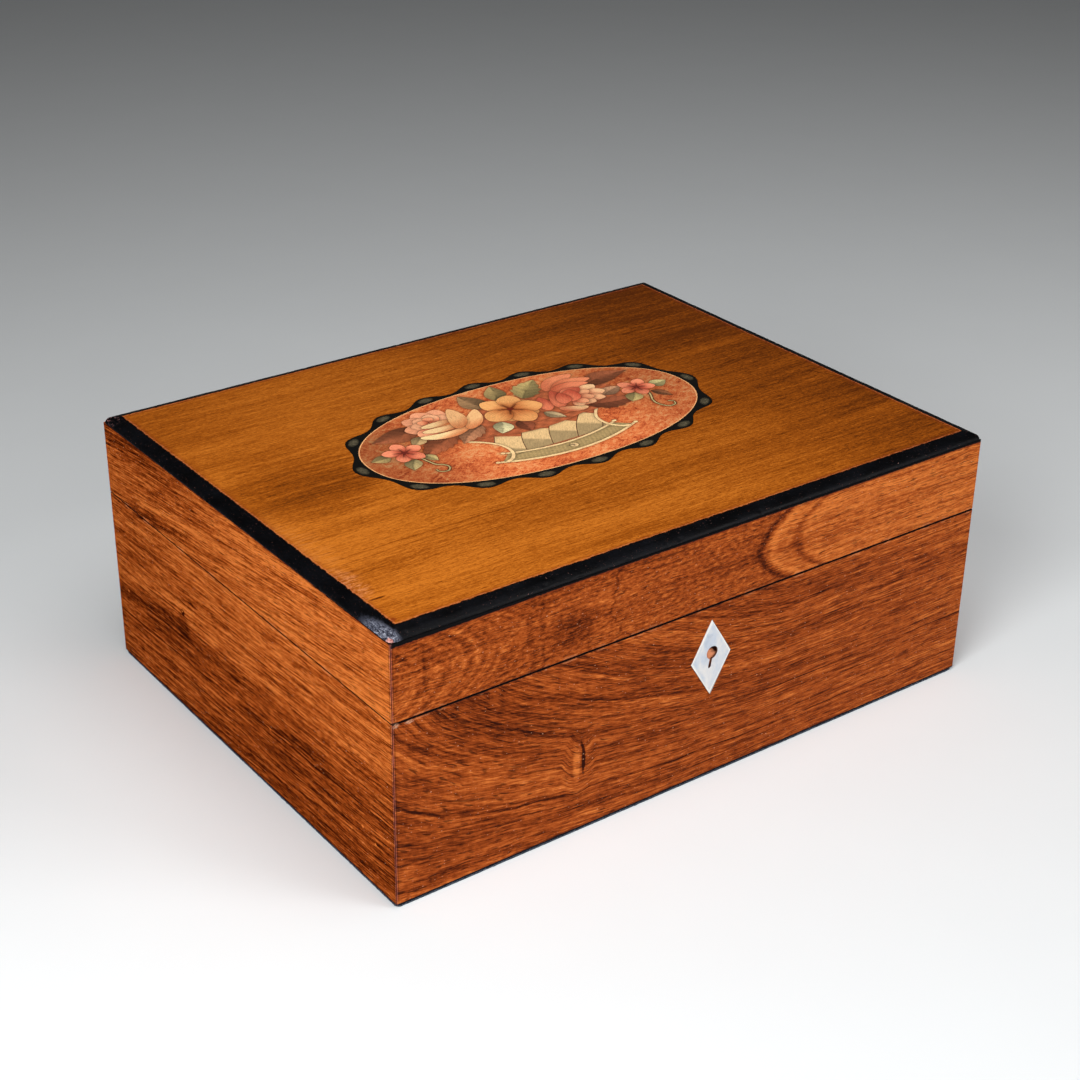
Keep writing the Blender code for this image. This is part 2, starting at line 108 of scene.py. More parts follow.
class Value:
    """A number or colour that varies over a surface; sums and products of values become math nodes."""

    def __init__(self, tree, socket):
        self.tree = tree
        self.socket = socket

    def using(self, operation, *others):
        node = self.tree.nodes.new("ShaderNodeMath")
        node.operation = operation
        for socket, item in zip(node.inputs, (self, *others)):
            feed(self.tree, socket, item)
        return Value(self.tree, node.outputs[0])

    __add__ = __radd__ = partialmethod(using, "ADD")
    __sub__ = partialmethod(using, "SUBTRACT")
    __mul__ = __rmul__ = partialmethod(using, "MULTIPLY")
    __truediv__ = partialmethod(using, "DIVIDE")
    __pow__ = partialmethod(using, "POWER")
    least = partialmethod(using, "MINIMUM")
    most = partialmethod(using, "MAXIMUM")
    size = partialmethod(using, "ABSOLUTE")

    def __rsub__(self, other):
        return self * -1 + other

    def between(self, low, high):
        """0 at low, 1 at high, smooth in between; low may be the greater."""
        node = self.tree.nodes.new("ShaderNodeMapRange")
        node.interpolation_type = "SMOOTHSTEP"
        feed(self.tree, node.inputs["Value"], self)
        node.inputs["From Min"].default_value = min(low, high)
        node.inputs["From Max"].default_value = max(low, high)
        node.inputs["To Min"].default_value = float(low > high)
        node.inputs["To Max"].default_value = float(low < high)
        return Value(self.tree, node.outputs["Result"])

    def near(self, middle, reach):
        """1 at middle, falling smoothly to 0 at reach on both sides."""
        return (self - middle).size().between(reach, 0)


class Surface:
    """A material with one Principled shader, and the colour that it has so far.

    Its places are in millimetres: x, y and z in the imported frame, up over the base's foot, and depth inwards
    from the nearest of the four sides.
    """

    def __init__(self, name):
        self.material = bpy.data.materials.new(name)
        self.material.use_nodes = True
        self.tree = self.material.node_tree
        self.shader = self.tree.nodes["Principled BSDF"]
        coordinates = self.tree.nodes.new("ShaderNodeTexCoord")
        self.x, self.y, self.z = (part / MM for part in self.split(coordinates.outputs["Object"]))
        self.up = self.z - BOTTOM
        depth_x = HALF_X - self.x.size()
        depth_y = HALF_Y - (self.y - CENTRE_Y).size()
        self.depth = depth_x.least(depth_y)
        self.color = None

    def split(self, socket):
        node = self.tree.nodes.new("ShaderNodeSeparateXYZ")
        self.tree.links.new(socket, node.inputs[0])
        return [Value(self.tree, output) for output in node.outputs]

    def attribute(self, name, output):
        node = self.tree.nodes.new("ShaderNodeAttribute")
        node.attribute_name = name
        return Value(self.tree, node.outputs[output])

    def noise(self, x, y, z=0, detail=2, roughness=0.5):
        """Noise around 0, mostly between -0.3 and 0.3, at a place given by three values."""
        place = self.tree.nodes.new("ShaderNodeCombineXYZ")
        for socket, item in zip(place.inputs, (x, y, z)):
            feed(self.tree, socket, item)
        node = self.tree.nodes.new("ShaderNodeTexNoise")
        self.tree.links.new(place.outputs[0], node.inputs["Vector"])
        for name, value in (("Scale", 1), ("Detail", detail), ("Roughness", roughness)):
            node.inputs[name].default_value = value
        return Value(self.tree, node.outputs["Fac"]) - 0.5

    def ramp(self, value, *stops):
        """A colour between stops, each (place, colour)."""
        node = self.tree.nodes.new("ShaderNodeValToRGB")
        feed(self.tree, node.inputs[0], value)
        elements = node.color_ramp.elements
        while len(elements) < len(stops):
            elements.new(0.5)
        for element, (place, color) in zip(elements, stops):
            element.position = place
            element.color = linear(color)
        return Value(self.tree, node.outputs["Color"])

    def mixed(self, amount, first, second, how="MIX"):
        """The first colour, turned into or multiplied by the second by an amount from 0 to 1."""
        node = self.tree.nodes.new("ShaderNodeMix")
        node.data_type = "RGBA"
        node.blend_type = how
        inputs = [socket for socket in node.inputs if socket.enabled]
        for socket, item in zip(inputs, (amount, first, second)):
            feed(self.tree, socket, item)
        return Value(self.tree, next(socket for socket in node.outputs if socket.enabled))

    def coat(self, amount, color):
        """Lays a colour over the surface's own, by an amount from 0 to 1."""
        self.color = self.mixed(amount, self.color, color)

    def spot(self, across, middle_across, along, middle_along, reach_across, reach_along):
        """1 in the middle of an oval patch, falling smoothly to 0 at its rim."""
        first = (across - middle_across) / reach_across
        second = (along - middle_along) / reach_along
        return (first * first + second * second).between(1, 0)

    def done(self, roughness, height=None, depth_mm=0.05, **constants):
        """Sets the shader; a height from 0 to 1 makes a bump of a depth in millimetres."""
        feed(self.tree, self.shader.inputs["Base Color"], self.color)
        feed(self.tree, self.shader.inputs["Roughness"], roughness)
        for name, value in constants.items():
            self.shader.inputs[name.replace("_", " ")].default_value = value
        if height is not None:
            bump = self.tree.nodes.new("ShaderNodeBump")
            bump.inputs["Distance"].default_value = depth_mm * MM
            feed(self.tree, bump.inputs["Height"], height)
            self.tree.links.new(bump.outputs[0], self.shader.inputs["Normal"])
        return self.material


def add_object(name, data):
    thing = bpy.data.objects.new(name, data)
    bpy.context.scene.collection.objects.link(thing)
    return thing


def dress(nodes, material):
    """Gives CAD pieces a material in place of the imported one."""
    for name in nodes:
        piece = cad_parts[name]
        piece.data.materials.clear()
        piece.data.materials.append(material)


def make_camera():
    data = bpy.data.cameras.new("camera")
    data.lens = CAMERA_LENS_MM
    data.sensor_width = SENSOR_MM
    data.clip_start = 0.01
    camera = add_object("camera", data)
    turn = Matrix.Rotation(CAMERA_AZIMUTH, 4, "Z") @ Matrix.Rotation(math.pi / 2 - CAMERA_ELEVATION, 4, "X")
    camera.matrix_world = Matrix.Translation(CAMERA_AT) @ turn @ Matrix.Rotation(CAMERA_ROLL, 4, "Z")
    bpy.context.scene.camera = camera


def make_floor():
    corners = [(x * FLOOR_REACH, y * FLOOR_REACH, 0) for x, y in ((-1, -1), (1, -1), (1, 1), (-1, 1))]
    mesh = bpy.data.meshes.new("floor")
    mesh.from_pydata(corners, [], [(0, 1, 2, 3)])
    s = Surface("floor")
    s.color = s.mixed(s.noise(s.x * 0.02, s.y * 0.02) + 0.5, FLOOR_DARKER, FLOOR_PALER)
    mesh.materials.append(s.done(0.8, Specular_IOR_Level=0.1))
    add_object("floor", mesh)


def make_studio():
    bpy.context.scene.view_settings.view_transform = "Standard"
    make_floor()
    world = bpy.data.worlds.new("world")
    world.use_nodes = True
    background = world.node_tree.nodes["Background"]
    background.inputs["Color"].default_value = (1, 1, 1, 1)
    background.inputs["Strength"].default_value = WORLD_LIGHT
    bpy.context.scene.world = world
    for name, (place, target, size, power) in LAMPS.items():
        data = bpy.data.lights.new(name, "AREA")
        data.shape = "DISK"
        data.size = size
        data.energy = power
        light = add_object(name, data)
        light.location = place
        light.rotation_euler = (Vector(target) - Vector(place)).to_track_quat("-Z", "Y").to_euler()


# Woods, as they look under the studio's light
SIDE_DARK, SIDE_BROWN, SIDE_MID, SIDE_LIGHT = (46, 15, 5), (112, 45, 13), (163, 76, 27), (216, 121, 54)
TOP_DARK, TOP_MID, TOP_LIGHT = (92, 41, 5), (160, 81, 14), (210, 120, 36)
INSIDE_DARK, INSIDE_LIGHT = (112, 62, 30), (168, 104, 58)
BLACK, RED_BROWN = (14, 13, 14), (120, 36, 12)
VENEER_MM = 0.9
WOOD_GLOSS = 0.02


def grain(s, along, across, seed):
    """The streaks of a straight-grained wood around 0, and its short dark pores from 0 to 1."""
    broad = s.noise(along * 0.006, across * 0.11, seed)
    streaks = s.noise(along * 0.012, across * 0.5, seed + 3.1, 5, 0.68)
    fine = s.noise(along * 0.08, across * 2.2, seed + 5.7, 3, 0.7)
    ripple = s.noise(along * 0.3, across * 0.6, seed + 8.3, 4, 0.7)
    lines = s.noise(along * 0.02, across * 1.3, seed + 15).between(0.13, 0.22)
    pores = s.noise(along * 0.16, across * 2.1, seed + 11.9, 1).between(0.10, 0.20)
    return broad * 0.6 + streaks * 1.4 + fine * 1.8 + ripple * 0.9, pores.most(lines * 0.8)


def inside_wood(s, along, across):
    """Plain paler wood, with its grain along a board."""
    tone = s.noise(along * 0.01, across * 0.4, 31, 4, 0.6)
    pores = s.noise(along * 0.15, across * 1.8, 33, 1).between(0.14, 0.24)
    color = s.ramp(tone * 1.6 + 0.5, (0.1, INSIDE_DARK), (0.9, INSIDE_LIGHT))
    return s.mixed(pores * 0.35, color, INSIDE_DARK)


def coat_wear(s, along, parting_reach, stain_reach):
    """Painted shade in the parting line, pale wear and a painted highlight beside it, black below the edging
    and at the foot, and a dark corner line.
    """
    ragged = s.noise(along * 0.35, 3, 0, 3, 0.7)
    away = (s.z - PARTING_Z).size()
    # Pale band beside the parting line: worn wood on the arris, with a painted highlight.
    rubbed = (away - ragged * 1.2).near(parting_reach + 0.45, 0.5) * s.noise(along * 0.12, 5).between(0, 0.1)
    s.coat(rubbed * 0.45, (214, 138, 92))
    # Painted shade: black in the gap of the parting line.
    s.coat((away - ragged * 0.6).between(parting_reach + 0.12, parting_reach - 0.12), BLACK)
    nicks = s.noise(along * 0.5, s.z * 0.9, 8, 4, 0.7)
    black = s.z + nicks * 1.1 - (EDGING_FOOT_Z - stain_reach)
    s.coat(black.near(-0.1, 0.7) * 0.5, (112, 40, 22))
    s.coat(black.between(-0.1, 0.25), BLACK)
    s.coat((s.up + nicks * 0.7).between(0.75, 0.4), (24, 22, 28))
    corner = s.x - LEFT + s.y - FRONT
    broken = s.noise(s.z * 0.22, 9, 0, 3, 0.7)
    s.coat((corner - 1).near(0, 0.4) * (broken + 0.55).least(1), (40, 16, 12))
    s.coat((corner - 0.3).near(0, 0.5) * (broken * 2 + 0.5).least(0.8).most(0), (176, 108, 104))


def coat_side(s, along, tone, pores, parting_reach=0.3, stain_reach=0):
    """Veneer outside, pale specks painted as tiny highlights, and plain wood behind it; gives roughness and
    relief.
    """
    s.color = s.ramp(tone, (0, SIDE_DARK), (0.3, SIDE_BROWN), (0.6, SIDE_MID), (1, SIDE_LIGHT))
    s.coat(pores * 0.7, SIDE_DARK)
    # Pale specks: painted tiny highlights on the veneer.
    s.coat(s.noise(along * 0.9, s.up * 1.6, 77, 0).between(0.28, 0.34) * 0.55, (226, 168, 130))
    coat_wear(s, along, parting_reach, stain_reach)
    inside = s.depth.between(VENEER_MM - 0.05, VENEER_MM + 0.05)
    s.coat(inside, inside_wood(s, along, s.depth + s.up * 0.75))
    return inside * 0.2 + 0.38, pores * -0.6 + tone * 0.3


def side_done(s, look, gloss=WOOD_GLOSS):
    return s.done(*look, 0.10, Specular_IOR_Level=gloss)


def base_front_wood():
    """Grain that sweeps down from the upper left and runs level on the right, with a pinched crease."""
    s = Surface("base_front_wood")
    x, up = s.x, s.up
    lean = ((50 - x) / 200).most(0)
    lean = ((lean * lean + 0.01) ** 0.5 - 0.1) * 0.83
    wobble = s.noise(x * 0.03, up * 0.05, 2, 3) * 2.2
    across = up * (1 - lean) + wobble + s.spot(x, -65, up, 31, 9, 17) * 2.5
    shallow = up - lean * lean * 40 + wobble
    tone, pores = grain(s, x, across, 1)
    fine = s.noise(x * 0.07, shallow * 1.4, 4, 4, 0.7)
    high = up.between(34, 60) * x.between(-40, -100)
    low = up.between(30, 8) * x.between(-60, -120)
    tone = tone * 0.75 + fine * 1.4 + 0.47 - high * 0.08 + low * 0.08 + x.between(40, 140) * 0.08
    crack = (across - 11 + s.noise(x * 0.05, 0.5, 0, 4) * 1.6).near(0, 0.42)
    crack = crack * (s.noise(x * 0.09, 2.5, 0, 3) + 0.45).between(0.1, 0.6)
    second = across.near(36.5, 0.8) * x.near(-35, 62)
    third = across.near(29, 0.6) * x.between(-10, 40)
    tone = tone - crack * 0.5 - second * 0.45 - third * 0.35
    bend = s.noise(up * 0.12, 6.5, 0, 3) * 5
    ridge = s.spot(x + (up - 31) * 0.08 + bend, -66.5, up, 31, 2.4, 11)
    furrow = s.spot(x + (up - 34) * 0.08 + bend, -63.4, up, 33, 1.1, 10)
    look = coat_side(s, x, tone + ridge * 0.4 - furrow * 0.7, pores, 0.5)
    chips = s.spot(x, LEFT + 7.4, s.z, PARTING_Z - 1.2, 2.4, 1)
    chips = chips.most(s.spot(x, LEFT + 1.6, s.z, PARTING_Z - 1, 1.8, 1.2))
    chips = chips * s.noise(x * 0.9, s.z * 1.6, 14, 3, 0.7).between(-0.08, 0.06)
    s.coat(chips * 0.9, (196, 152, 124))
    coat_keyhole_floor(s)
    return side_done(s, look)


def coat_keyhole_floor(s):
    """Pale, freshly coloured wood behind the keyhole, with painted shadow under its upper rim and to its
    right.
    """
    # Painted shadow: dark under the keyhole's upper rim and to its right, mixed into the pale wood.
    shade = (s.x - PLATE_X) * 0.8 + (s.z - PLATE_Z - 2.1) + s.noise(s.x * 0.7, s.z * 0.7, 12, 3) * 3
    fresh_wood_and_shadow = s.mixed(shade.between(0.3, 2.3), (232, 150, 108), (44, 18, 10))
    below = s.y.between(FRONT + 0.4, FRONT + 0.6) * s.spot(s.x, PLATE_X, s.z, PLATE_Z, 14, 20).between(0, 0.1)
    s.coat(below, fresh_wood_and_shadow)


def lid_front_wood():
    """Mottled wood with wavy cross lines on the left, and a pale flame that opens to the right."""
    s = Surface("lid_front_wood")
    x, up = s.x, s.up
    height = up - 97
    wobble = s.noise(x * 0.06, up * 0.09, 9, 3, 0.6)
    flame = x - height * height * 0.062 + wobble * 7
    right = flame.between(25, 31)
    tone, pores = grain(s, x, up + wobble * 3, 21)
    mottle = s.noise(x * 0.35, up * 0.8, 23, 4, 0.7)
    left_tone = tone * 0.5 + mottle * 1.6 + 0.50
    right_tone = tone * 0.8 + mottle * 0.5 + 0.74
    edge = flame.near(24, 3.5) * -0.35 + flame.near(44, 4.5) * -0.3 + flame.near(31, 4) * 0.15
    crossing = x + s.noise(x * 0.05, up * 0.16, 27, 3) * 9
    lines = crossing.near(-136, 1.4) * 0.2 + crossing.near(-88, 4) * 0.15 + crossing.near(-83, 1.8) * 0.25
    lines = lines + (crossing - (height - 2) * (height - 2) * 0.03).near(-51, 1.2) * 0.3
    lines = lines * (s.noise(x * 0.3, up * 0.3, 18, 3) + 0.35).between(0.1, 0.5)
    arcs = s.noise((x + 150 + height * height * 0.06) * 0.28, up * 0.03, 3) * x.between(-75, -105) * 0.9
    left_tone = left_tone - lines - s.spot(x, -69, up, 93, 14, 12) * 0.22 + arcs
    tone = left_tone * (1 - right) + right_tone * right + edge
    return side_done(s, coat_side(s, x, tone, pores, 0.5, x.between(-60, LEFT) * 0.9 + 1.15))


def straight_wood(name, along_y, slope, seed, light, gloss=WOOD_GLOSS):
    """Straight grain along a side; light(s, along, across) adds to its tone."""
    s = Surface(name)
    along = s.y if along_y else s.x
    across = s.up + along * slope + s.noise(along * 0.02, s.up * 0.06, seed, 3) * 2.5
    tone, pores = grain(s, along, across, seed)
    extra = s.noise(along * 0.05, across * 1.2, seed + 2, 4, 0.7)
    veins = s.noise(along * 0.008, across * 0.9, seed + 4).between(0.14, 0.22)
    tone = tone * 1.05 + extra * 1.6 - veins * 0.25 + light(s, along, across)
    return side_done(s, coat_side(s, along, tone, pores, 0.3, s.y.between(40, FRONT) * 0.7 - 0.1), gloss)


def base_left_light(s, along, across):
    """Paler above, redder and darker below, with dark veins and a knot hole."""
    up = s.up
    pale = across.between(42, 53)
    sway = s.noise(along * 0.04, 0.2, 0, 3) * 2.5
    vein = (up + along * 0.052 - 28 + sway).near(0, 0.7) + (up + along * 0.03 - 17 + sway).near(0, 0.5) * 0.5
    soft = s.noise(along * 0.3, up * 0.3, 16, 3, 0.7)
    knot = s.spot(along + soft * 12, 50, up, 41, 8, 9) * 0.22 + s.spot(along, 50, up, 49.2, 2, 2) * 1.1
    short = s.spot(along, 40, up, 57, 6, 0.9) * 0.5
    pin = s.spot(along, 50.4, up, 49.5, 0.8, 0.7) * 1.9
    specks = s.spot(along, -23, up, 29, 1.1, 0.8) + s.spot(along, -93, up, 23, 1.1, 0.8)
    specks = specks + s.spot(along, -102, up, 20, 0.9, 0.7) + s.spot(along, 104, up, 35, 1.1, 0.8)
    back = along.between(20, 105) * pale
    return pale * 0.25 - back * 0.12 - vein * 0.35 - knot - short + pin + specks * 0.7 + 0.41


def lid_left_light(s, along, across):
    """Paler towards the front, with dark bands at the back."""
    bands = s.noise(along * 0.004, across * 0.12, 41) * along.between(-20, 90)
    dark = (s.up - along * 0.13 - 93).between(-6, 6) * along.between(10, 80)
    return 0.77 - along.between(-40, 115) * 0.27 + bands * 1.3 - dark * 0.24


def plain_light(s, along, across):
    return 0.48


def lid_top_wood():
    """Golden straight-grained veneer, with painted shade towards the back and the right, black beside the
    edging.
    """
    s = Surface("lid_top_wood")
    x, y = s.x, s.y
    across = y + s.noise(x * 0.012, y * 0.03, 51) * 6
    broad = s.noise(x * 0.005, across * 0.05, 52, 3)
    streaks = s.noise(x * 0.012, across * 0.45, 53, 5, 0.62)
    fine = s.noise(x * 0.12, across * 2, 54, 4, 0.7)
    fleck = s.noise(x * 0.55, across * 1.2, 59, 4, 0.75)
    pores = s.noise(x * 0.22, across * 2.4, 55, 1).between(0.14, 0.24)
    ragged = s.noise(x * 0.35, y * 0.35, 56, 4, 0.7)
    # Painted shade: the last term darkens the top from the front left towards the back and the right.
    tone = broad + streaks * 0.9 + fine * 1.8 + fleck * 1.5 + 0.74 - (x + y * 0.9).between(-190, 230) * 0.46
    tone = tone - s.spot(x + streaks * 40, -116, y + ragged * 20, 4, 42, 38) * 0.38
    # Painted light and shade: paler at the back left, darker towards the right.
    tone = tone + s.spot(x, -55, y, 82, 85, 40) * 0.2 - x.between(55, 125) * 0.13
    tone = tone - s.spot(x, -45, y, -82, 60, 28) * 0.12
    tone = tone + across.near(-31, 9) * x.between(-50, -110) * 0.12
    tone = tone - across.near(-56.5, 1) * x.between(-40, -70) * 0.35
    tone = tone - across.near(-61, 0.7) * x.between(-60, -90) * 0.3
    tone = tone - s.spot(x, -139, y, -90.4, 4.8, 0.8) * 0.9
    tone = tone - (x + (y + 29) * 0.5).near(139, 0.7) * y.near(-29, 9) * 0.6
    s.color = s.ramp(tone, (0, TOP_DARK), (0.5, TOP_MID), (1, TOP_LIGHT))
    s.coat(pores * 0.5, TOP_DARK)
    s.coat(s.noise(x * 0.8, y * 1.1, 58, 0).between(0.30, 0.36) * 0.6, (52, 22, 8))
    patches = x.between(-128, -142) * y.near(-42, 44)
    patches = patches * (s.noise(x * 0.1, y * 0.7, 57, 4, 0.7) + 0.05).between(0, 0.12)
    s.coat(patches * 0.55, (222, 136, 62))
    rays = s.noise(x * 0.12, y * 0.9, 60, 4, 0.75) + fleck * 0.5
    s.coat(s.spot(x, -143.5, y, -76, 9, 17) * rays.between(-0.03, 0.10) * 0.8, (232, 150, 96))
    s.coat(s.spot(x, -142.6, y, -106.6, 2, 1.6) * 0.6, RED_BROWN)
    rim = s.depth - EDGING_WIDTH_MM
    s.coat((rim + ragged * 5).between(4, 0) * 0.4, RED_BROWN)
    fringe = (rim - 0.45 + ragged * 1.8).near(0.35, 0.5) * (fleck + 0.1).between(0, 0.15)
    s.coat(fringe * 0.6, (224, 130, 82))
    inked = x.near(LEFT, 12).most(y.near(FRONT, 12)) * 0.3 + 0.15
    s.coat((rim + ragged * 1.8 - inked).between(0.35, 0), BLACK)
    under = s.z.between(TOP - 1.2, TOP - 1.4)
    s.coat(under, inside_wood(s, x, y))
    return s.done(under * 0.2 + 0.36, pores * -0.5 + tone * 0.2, Specular_IOR_Level=0.06)


def bare_wood():
    s = Surface("bare_wood")
    s.color = inside_wood(s, s.x, s.y)
    return s.done(0.6, Specular_IOR_Level=0.1)


def make_woods():
    for node, wood in (("base_front", base_front_wood), ("lid_front", lid_front_wood)):
        dress([node], wood())
    for node, *look in (
        ("base_left", True, 0.054, 61, base_left_light, 0),
        ("lid_left", True, 0.1, 63, lid_left_light, 0),
        ("base_right", True, -0.03, 65, plain_light),
        ("lid_right", True, -0.02, 67, plain_light),
        ("base_back", False, 0.02, 69, plain_light),
        ("lid_back", False, 0.03, 71, plain_light),
    ):
        dress([node], straight_wood(f"{node}_wood", *look))
    dress(["base_bottom"], bare_wood())
    dress(["lid_top"], lid_top_wood())


# Black edging, with the same section as the solid's
STRIP_MM = 2.4
STRIP_SLOPE = math.radians(15)
SIDE_MM = 0.3
CORNER_MM = 2.6
MITRE_GAP_MM = 0.15
CORNER_STEPS, STRIP_STEPS, DROP_STEPS = 6, 6, 12
EDGING_PACE_MM, FELT_PACE_MM = 0.8, 1
WELD_MM = 1e-5
SHARP_ANGLE = math.radians(50)

FELT_INSET_MM = 0.2
FELT_REACH_MM = 7
FIBRES = 150

# Each side's direction along and outwards
SIDES = {
    "front": ((1, 0), (0, -1)),
    "right": ((0, 1), (1, 0)),
    "back": ((-1, 0), (0, 1)),
    "left": ((0, -1), (-1, 0)),
}


def halves(side):
    """Half a side's length, and its distance from the middle."""
    return (HALF_X, HALF_Y) if SIDES[side][0][0] else (HALF_Y, HALF_X)


def waver(x, y, z, scale, seed=0):
    """Noise between about -1 and 1 at a place in millimetres, with features of a size of 1 / scale."""
    return noise.noise(Vector((x * scale + seed, y * scale - seed, z * scale + seed * 0.5)))


def pit(x, y, z, scale, seed=0):
    """The hollows of the same noise: 0 over half of the places."""
    return max(0, waver(x, y, z, scale, seed))


def hand_over(piece, body, replaced, slot, material):
    piece.data.materials.append(material)
    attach(piece, body)
    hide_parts(replaced)
    return piece


def new_piece(name, mesh, *role):
    bmesh.ops.recalc_face_normals(mesh, faces=mesh.faces)
    data = bpy.data.meshes.new(name)
    mesh.to_mesh(data)
    mesh.free()
    data.transform(Matrix.Scale(MM, 4))
    return hand_over(add_object(name, data), *role)


def skin(mesh, rings):
    """Faces between closed rings of points, and one on the first ring and on the last."""
    for ring, following in zip(rings, rings[1:]):
        for k in range(len(ring)):
            after = (k + 1) % len(ring)
            mesh.faces.new((ring[k], ring[after], following[after], following[k]))
    mesh.faces.new(rings[0])
    mesh.faces.new(rings[-1])


def edging_section():
    """Points (inset, height) of the section, as in the solid: a sloping strip, then a rounded drop."""
    end = Vector((EDGING_WIDTH_MM - STRIP_MM, TOP - STRIP_MM * math.tan(STRIP_SLOPE)))
    side = Vector((0, EDGING_FOOT_Z + SIDE_MM))
    bend = Vector((0.22 * end.x, end.y - 0.22 * (end.y - side.y)))
    points = [Vector((EDGING_WIDTH_MM, EDGING_FOOT_Z))]
    points += [Vector((EDGING_WIDTH_MM, TOP)).lerp(end, step / STRIP_STEPS) for step in range(STRIP_STEPS)]
    for step in range(DROP_STEPS + 1):
        t = step / DROP_STEPS
        points.append(end * (1 - t) ** 2 + bend * 2 * t * (1 - t) + side * t ** 2)
    return points + [Vector((0, EDGING_FOOT_Z)), Vector((EDGING_WIDTH_MM * 0.5, EDGING_FOOT_Z))]


def side_stations(half, pace_mm):
    """Places along a side: rounded corner, straight stretch, rounded corner, as (angle or None, place)."""
    count = round(2 * (half - CORNER_MM) / pace_mm)
    turns = [math.radians(45 + 45 * step / CORNER_STEPS) for step in range(CORNER_STEPS)]
    straight = [(None, -1 + 2 * k / count) for k in range(count + 1)]
    return [(math.pi - turn, -1) for turn in turns] + straight + [(turn, 1) for turn in reversed(turns)]


def place_in_plan(side, station, inset):
    """A point in plan at a station of a side, drawn in by an inset and kept clear of the mitres."""
    (ax, ay), (ox, oy) = SIDES[side]
    half, out = halves(side)
    radius = max(CORNER_MM - inset, 0)
    turn, place = station
    along = place * (half - inset - radius)
    outwards = out - inset
    if turn is not None:
        along += radius * math.cos(turn)
        outwards -= radius * (1 - math.sin(turn))
    reach = half - (out - outwards) - MITRE_GAP_MM
    along = min(max(along, -reach), reach)
    return along * ax + outwards * ox, CENTRE_Y + along * ay + outwards * oy


def make_edging():
    material = edging_material()
    section = edging_section()
    for side, (_, outwards) in SIDES.items():
        mesh = bmesh.new()
        rings = []
        for station in side_stations(halves(side)[0], EDGING_PACE_MM):
            plan = [(*place_in_plan(side, station, point.x), point) for point in section]
            rings.append([mesh.verts.new(worn_point(*place, outwards)) for place in plan])
        skin(mesh, rings)
        bmesh.ops.remove_doubles(mesh, verts=mesh.verts, dist=WELD_MM)
        piece = new_piece(f"worn_edging_{side}", mesh, "lid", f"edging_{side}", "ebonised_edging", material)
        piece.data.shade_smooth()
        piece.data.set_sharp_from_angle(angle=SHARP_ANGLE)


def worn_point(x, y, point, outwards):
    """A point of the edging, pressed in by dents, most at the front left corner; it stays in the solid."""
    inset, z = point
    drop = press = 0
    if z > EDGING_FOOT_Z + 0.01 and inset < EDGING_WIDTH_MM - 0.1:
        wear = max(0, 1 - math.hypot(max(y - FRONT, 0) / 21, max(x - LEFT, 0) / 7.5))
        dent = max(0, waver(x, y, z, 0.35, 15) - 0.45)
        drop = 0.12 * pit(x, y, 0, 0.09) + 0.10 * pit(x, y, inset, 0.5, 3)
        press = 0.16 * pit(x, y, z, 0.12, 7) + 0.10 * pit(x, y, z, 0.8, 9)
        press += 0.9 * dent + wear * (0.35 + 0.3 * waver(x, y, z, 1.1, 19))
        drop += 0.7 * dent + wear * (0.30 + 0.25 * waver(x, y, z, 1.3, 23))
    if abs(z - EDGING_FOOT_Z) < 0.01 and inset < 0.1:
        drop = -0.10 * pit(x, y, 0, 0.7, 29) - 0.08 * pit(x, y, 0, 2.1, 31)
    press = max(press, 0)
    return x - outwards[0] * press, y - outwards[1] * press, max(z - max(drop, -0.4), EDGING_FOOT_Z)


def edging_material():
    """Old black stain, specked, rubbed grey and bare at the front left corner, speckled at the back."""
    s = Surface("worn_black")
    x, y, z = s.x, s.y, s.z
    streak = s.noise(x * 0.16 + y * 0.9, y * 0.16 + x * 0.9, z * 3, 4, 0.7)
    cloud = s.noise(x * 0.08, y * 0.08, z * 0.2, 3)
    s.color = s.mixed((streak + cloud + 0.4).between(0.2, 0.9), (3, 3, 4), (14, 15, 20))
    s.coat(s.noise(x * 1.3, y * 1.3, z * 1.6, 1).between(0.29, 0.36) * 0.55, (120, 122, 132))
    line = s.depth.near(EDGING_WIDTH_MM - STRIP_MM - 0.2, 0.4) * (cloud + 0.5).between(0.3, 0.6)
    s.coat(line * 0.7, (4, 5, 6))
    behind = ((y - FRONT) / 26).most(0)
    beside = ((x - LEFT) / 6.6).most(0)
    wear = (behind * behind + beside * beside) ** 0.5
    scratch = s.noise(x * 1.5, y * 0.6, z * 1.2, 5, 0.85)
    rubbed = (wear + scratch * 1.4).between(0.85, 0.62) * (s.depth + scratch * 2).between(4.8, 3.9)
    grey = s.ramp(scratch * 3.4 + 0.40, (0.1, (22, 22, 30)), (0.5, (92, 95, 110)), (0.95, (206, 210, 222)))
    s.coat(rubbed * 0.92, grey)
    corner = s.spot(x, LEFT + 0.3, y, FRONT + 0.8, 2, 2.8) * z.between(TOP - 1.7, TOP - 2.5)
    bare = (corner + s.noise(x * 1.5, y * 1.5, z * 1.9, 3, 0.7) * 2.2).between(0.35, 0.6)
    s.coat(bare, s.mixed((scratch * 2 + 0.5).between(0.3, 0.7), (120, 40, 34), (222, 168, 158)))
    far = s.spot(x, LEFT + 2.5, y, BACK - 3, 6, 9)
    far = far * s.noise(x * 1.1, y * 1.1, z * 1.1 + 4).between(0.08, 0.18)
    s.coat(far * 0.85, s.mixed((streak + 0.5).between(0.4, 0.6), (104, 108, 120), (200, 130, 122)))
    relief = streak * 0.7 + rubbed * scratch * 1.5
    return s.done(rubbed * 0.2 + 0.42 + cloud * 0.3, relief, 0.08, Specular_IOR_Level=0.09)


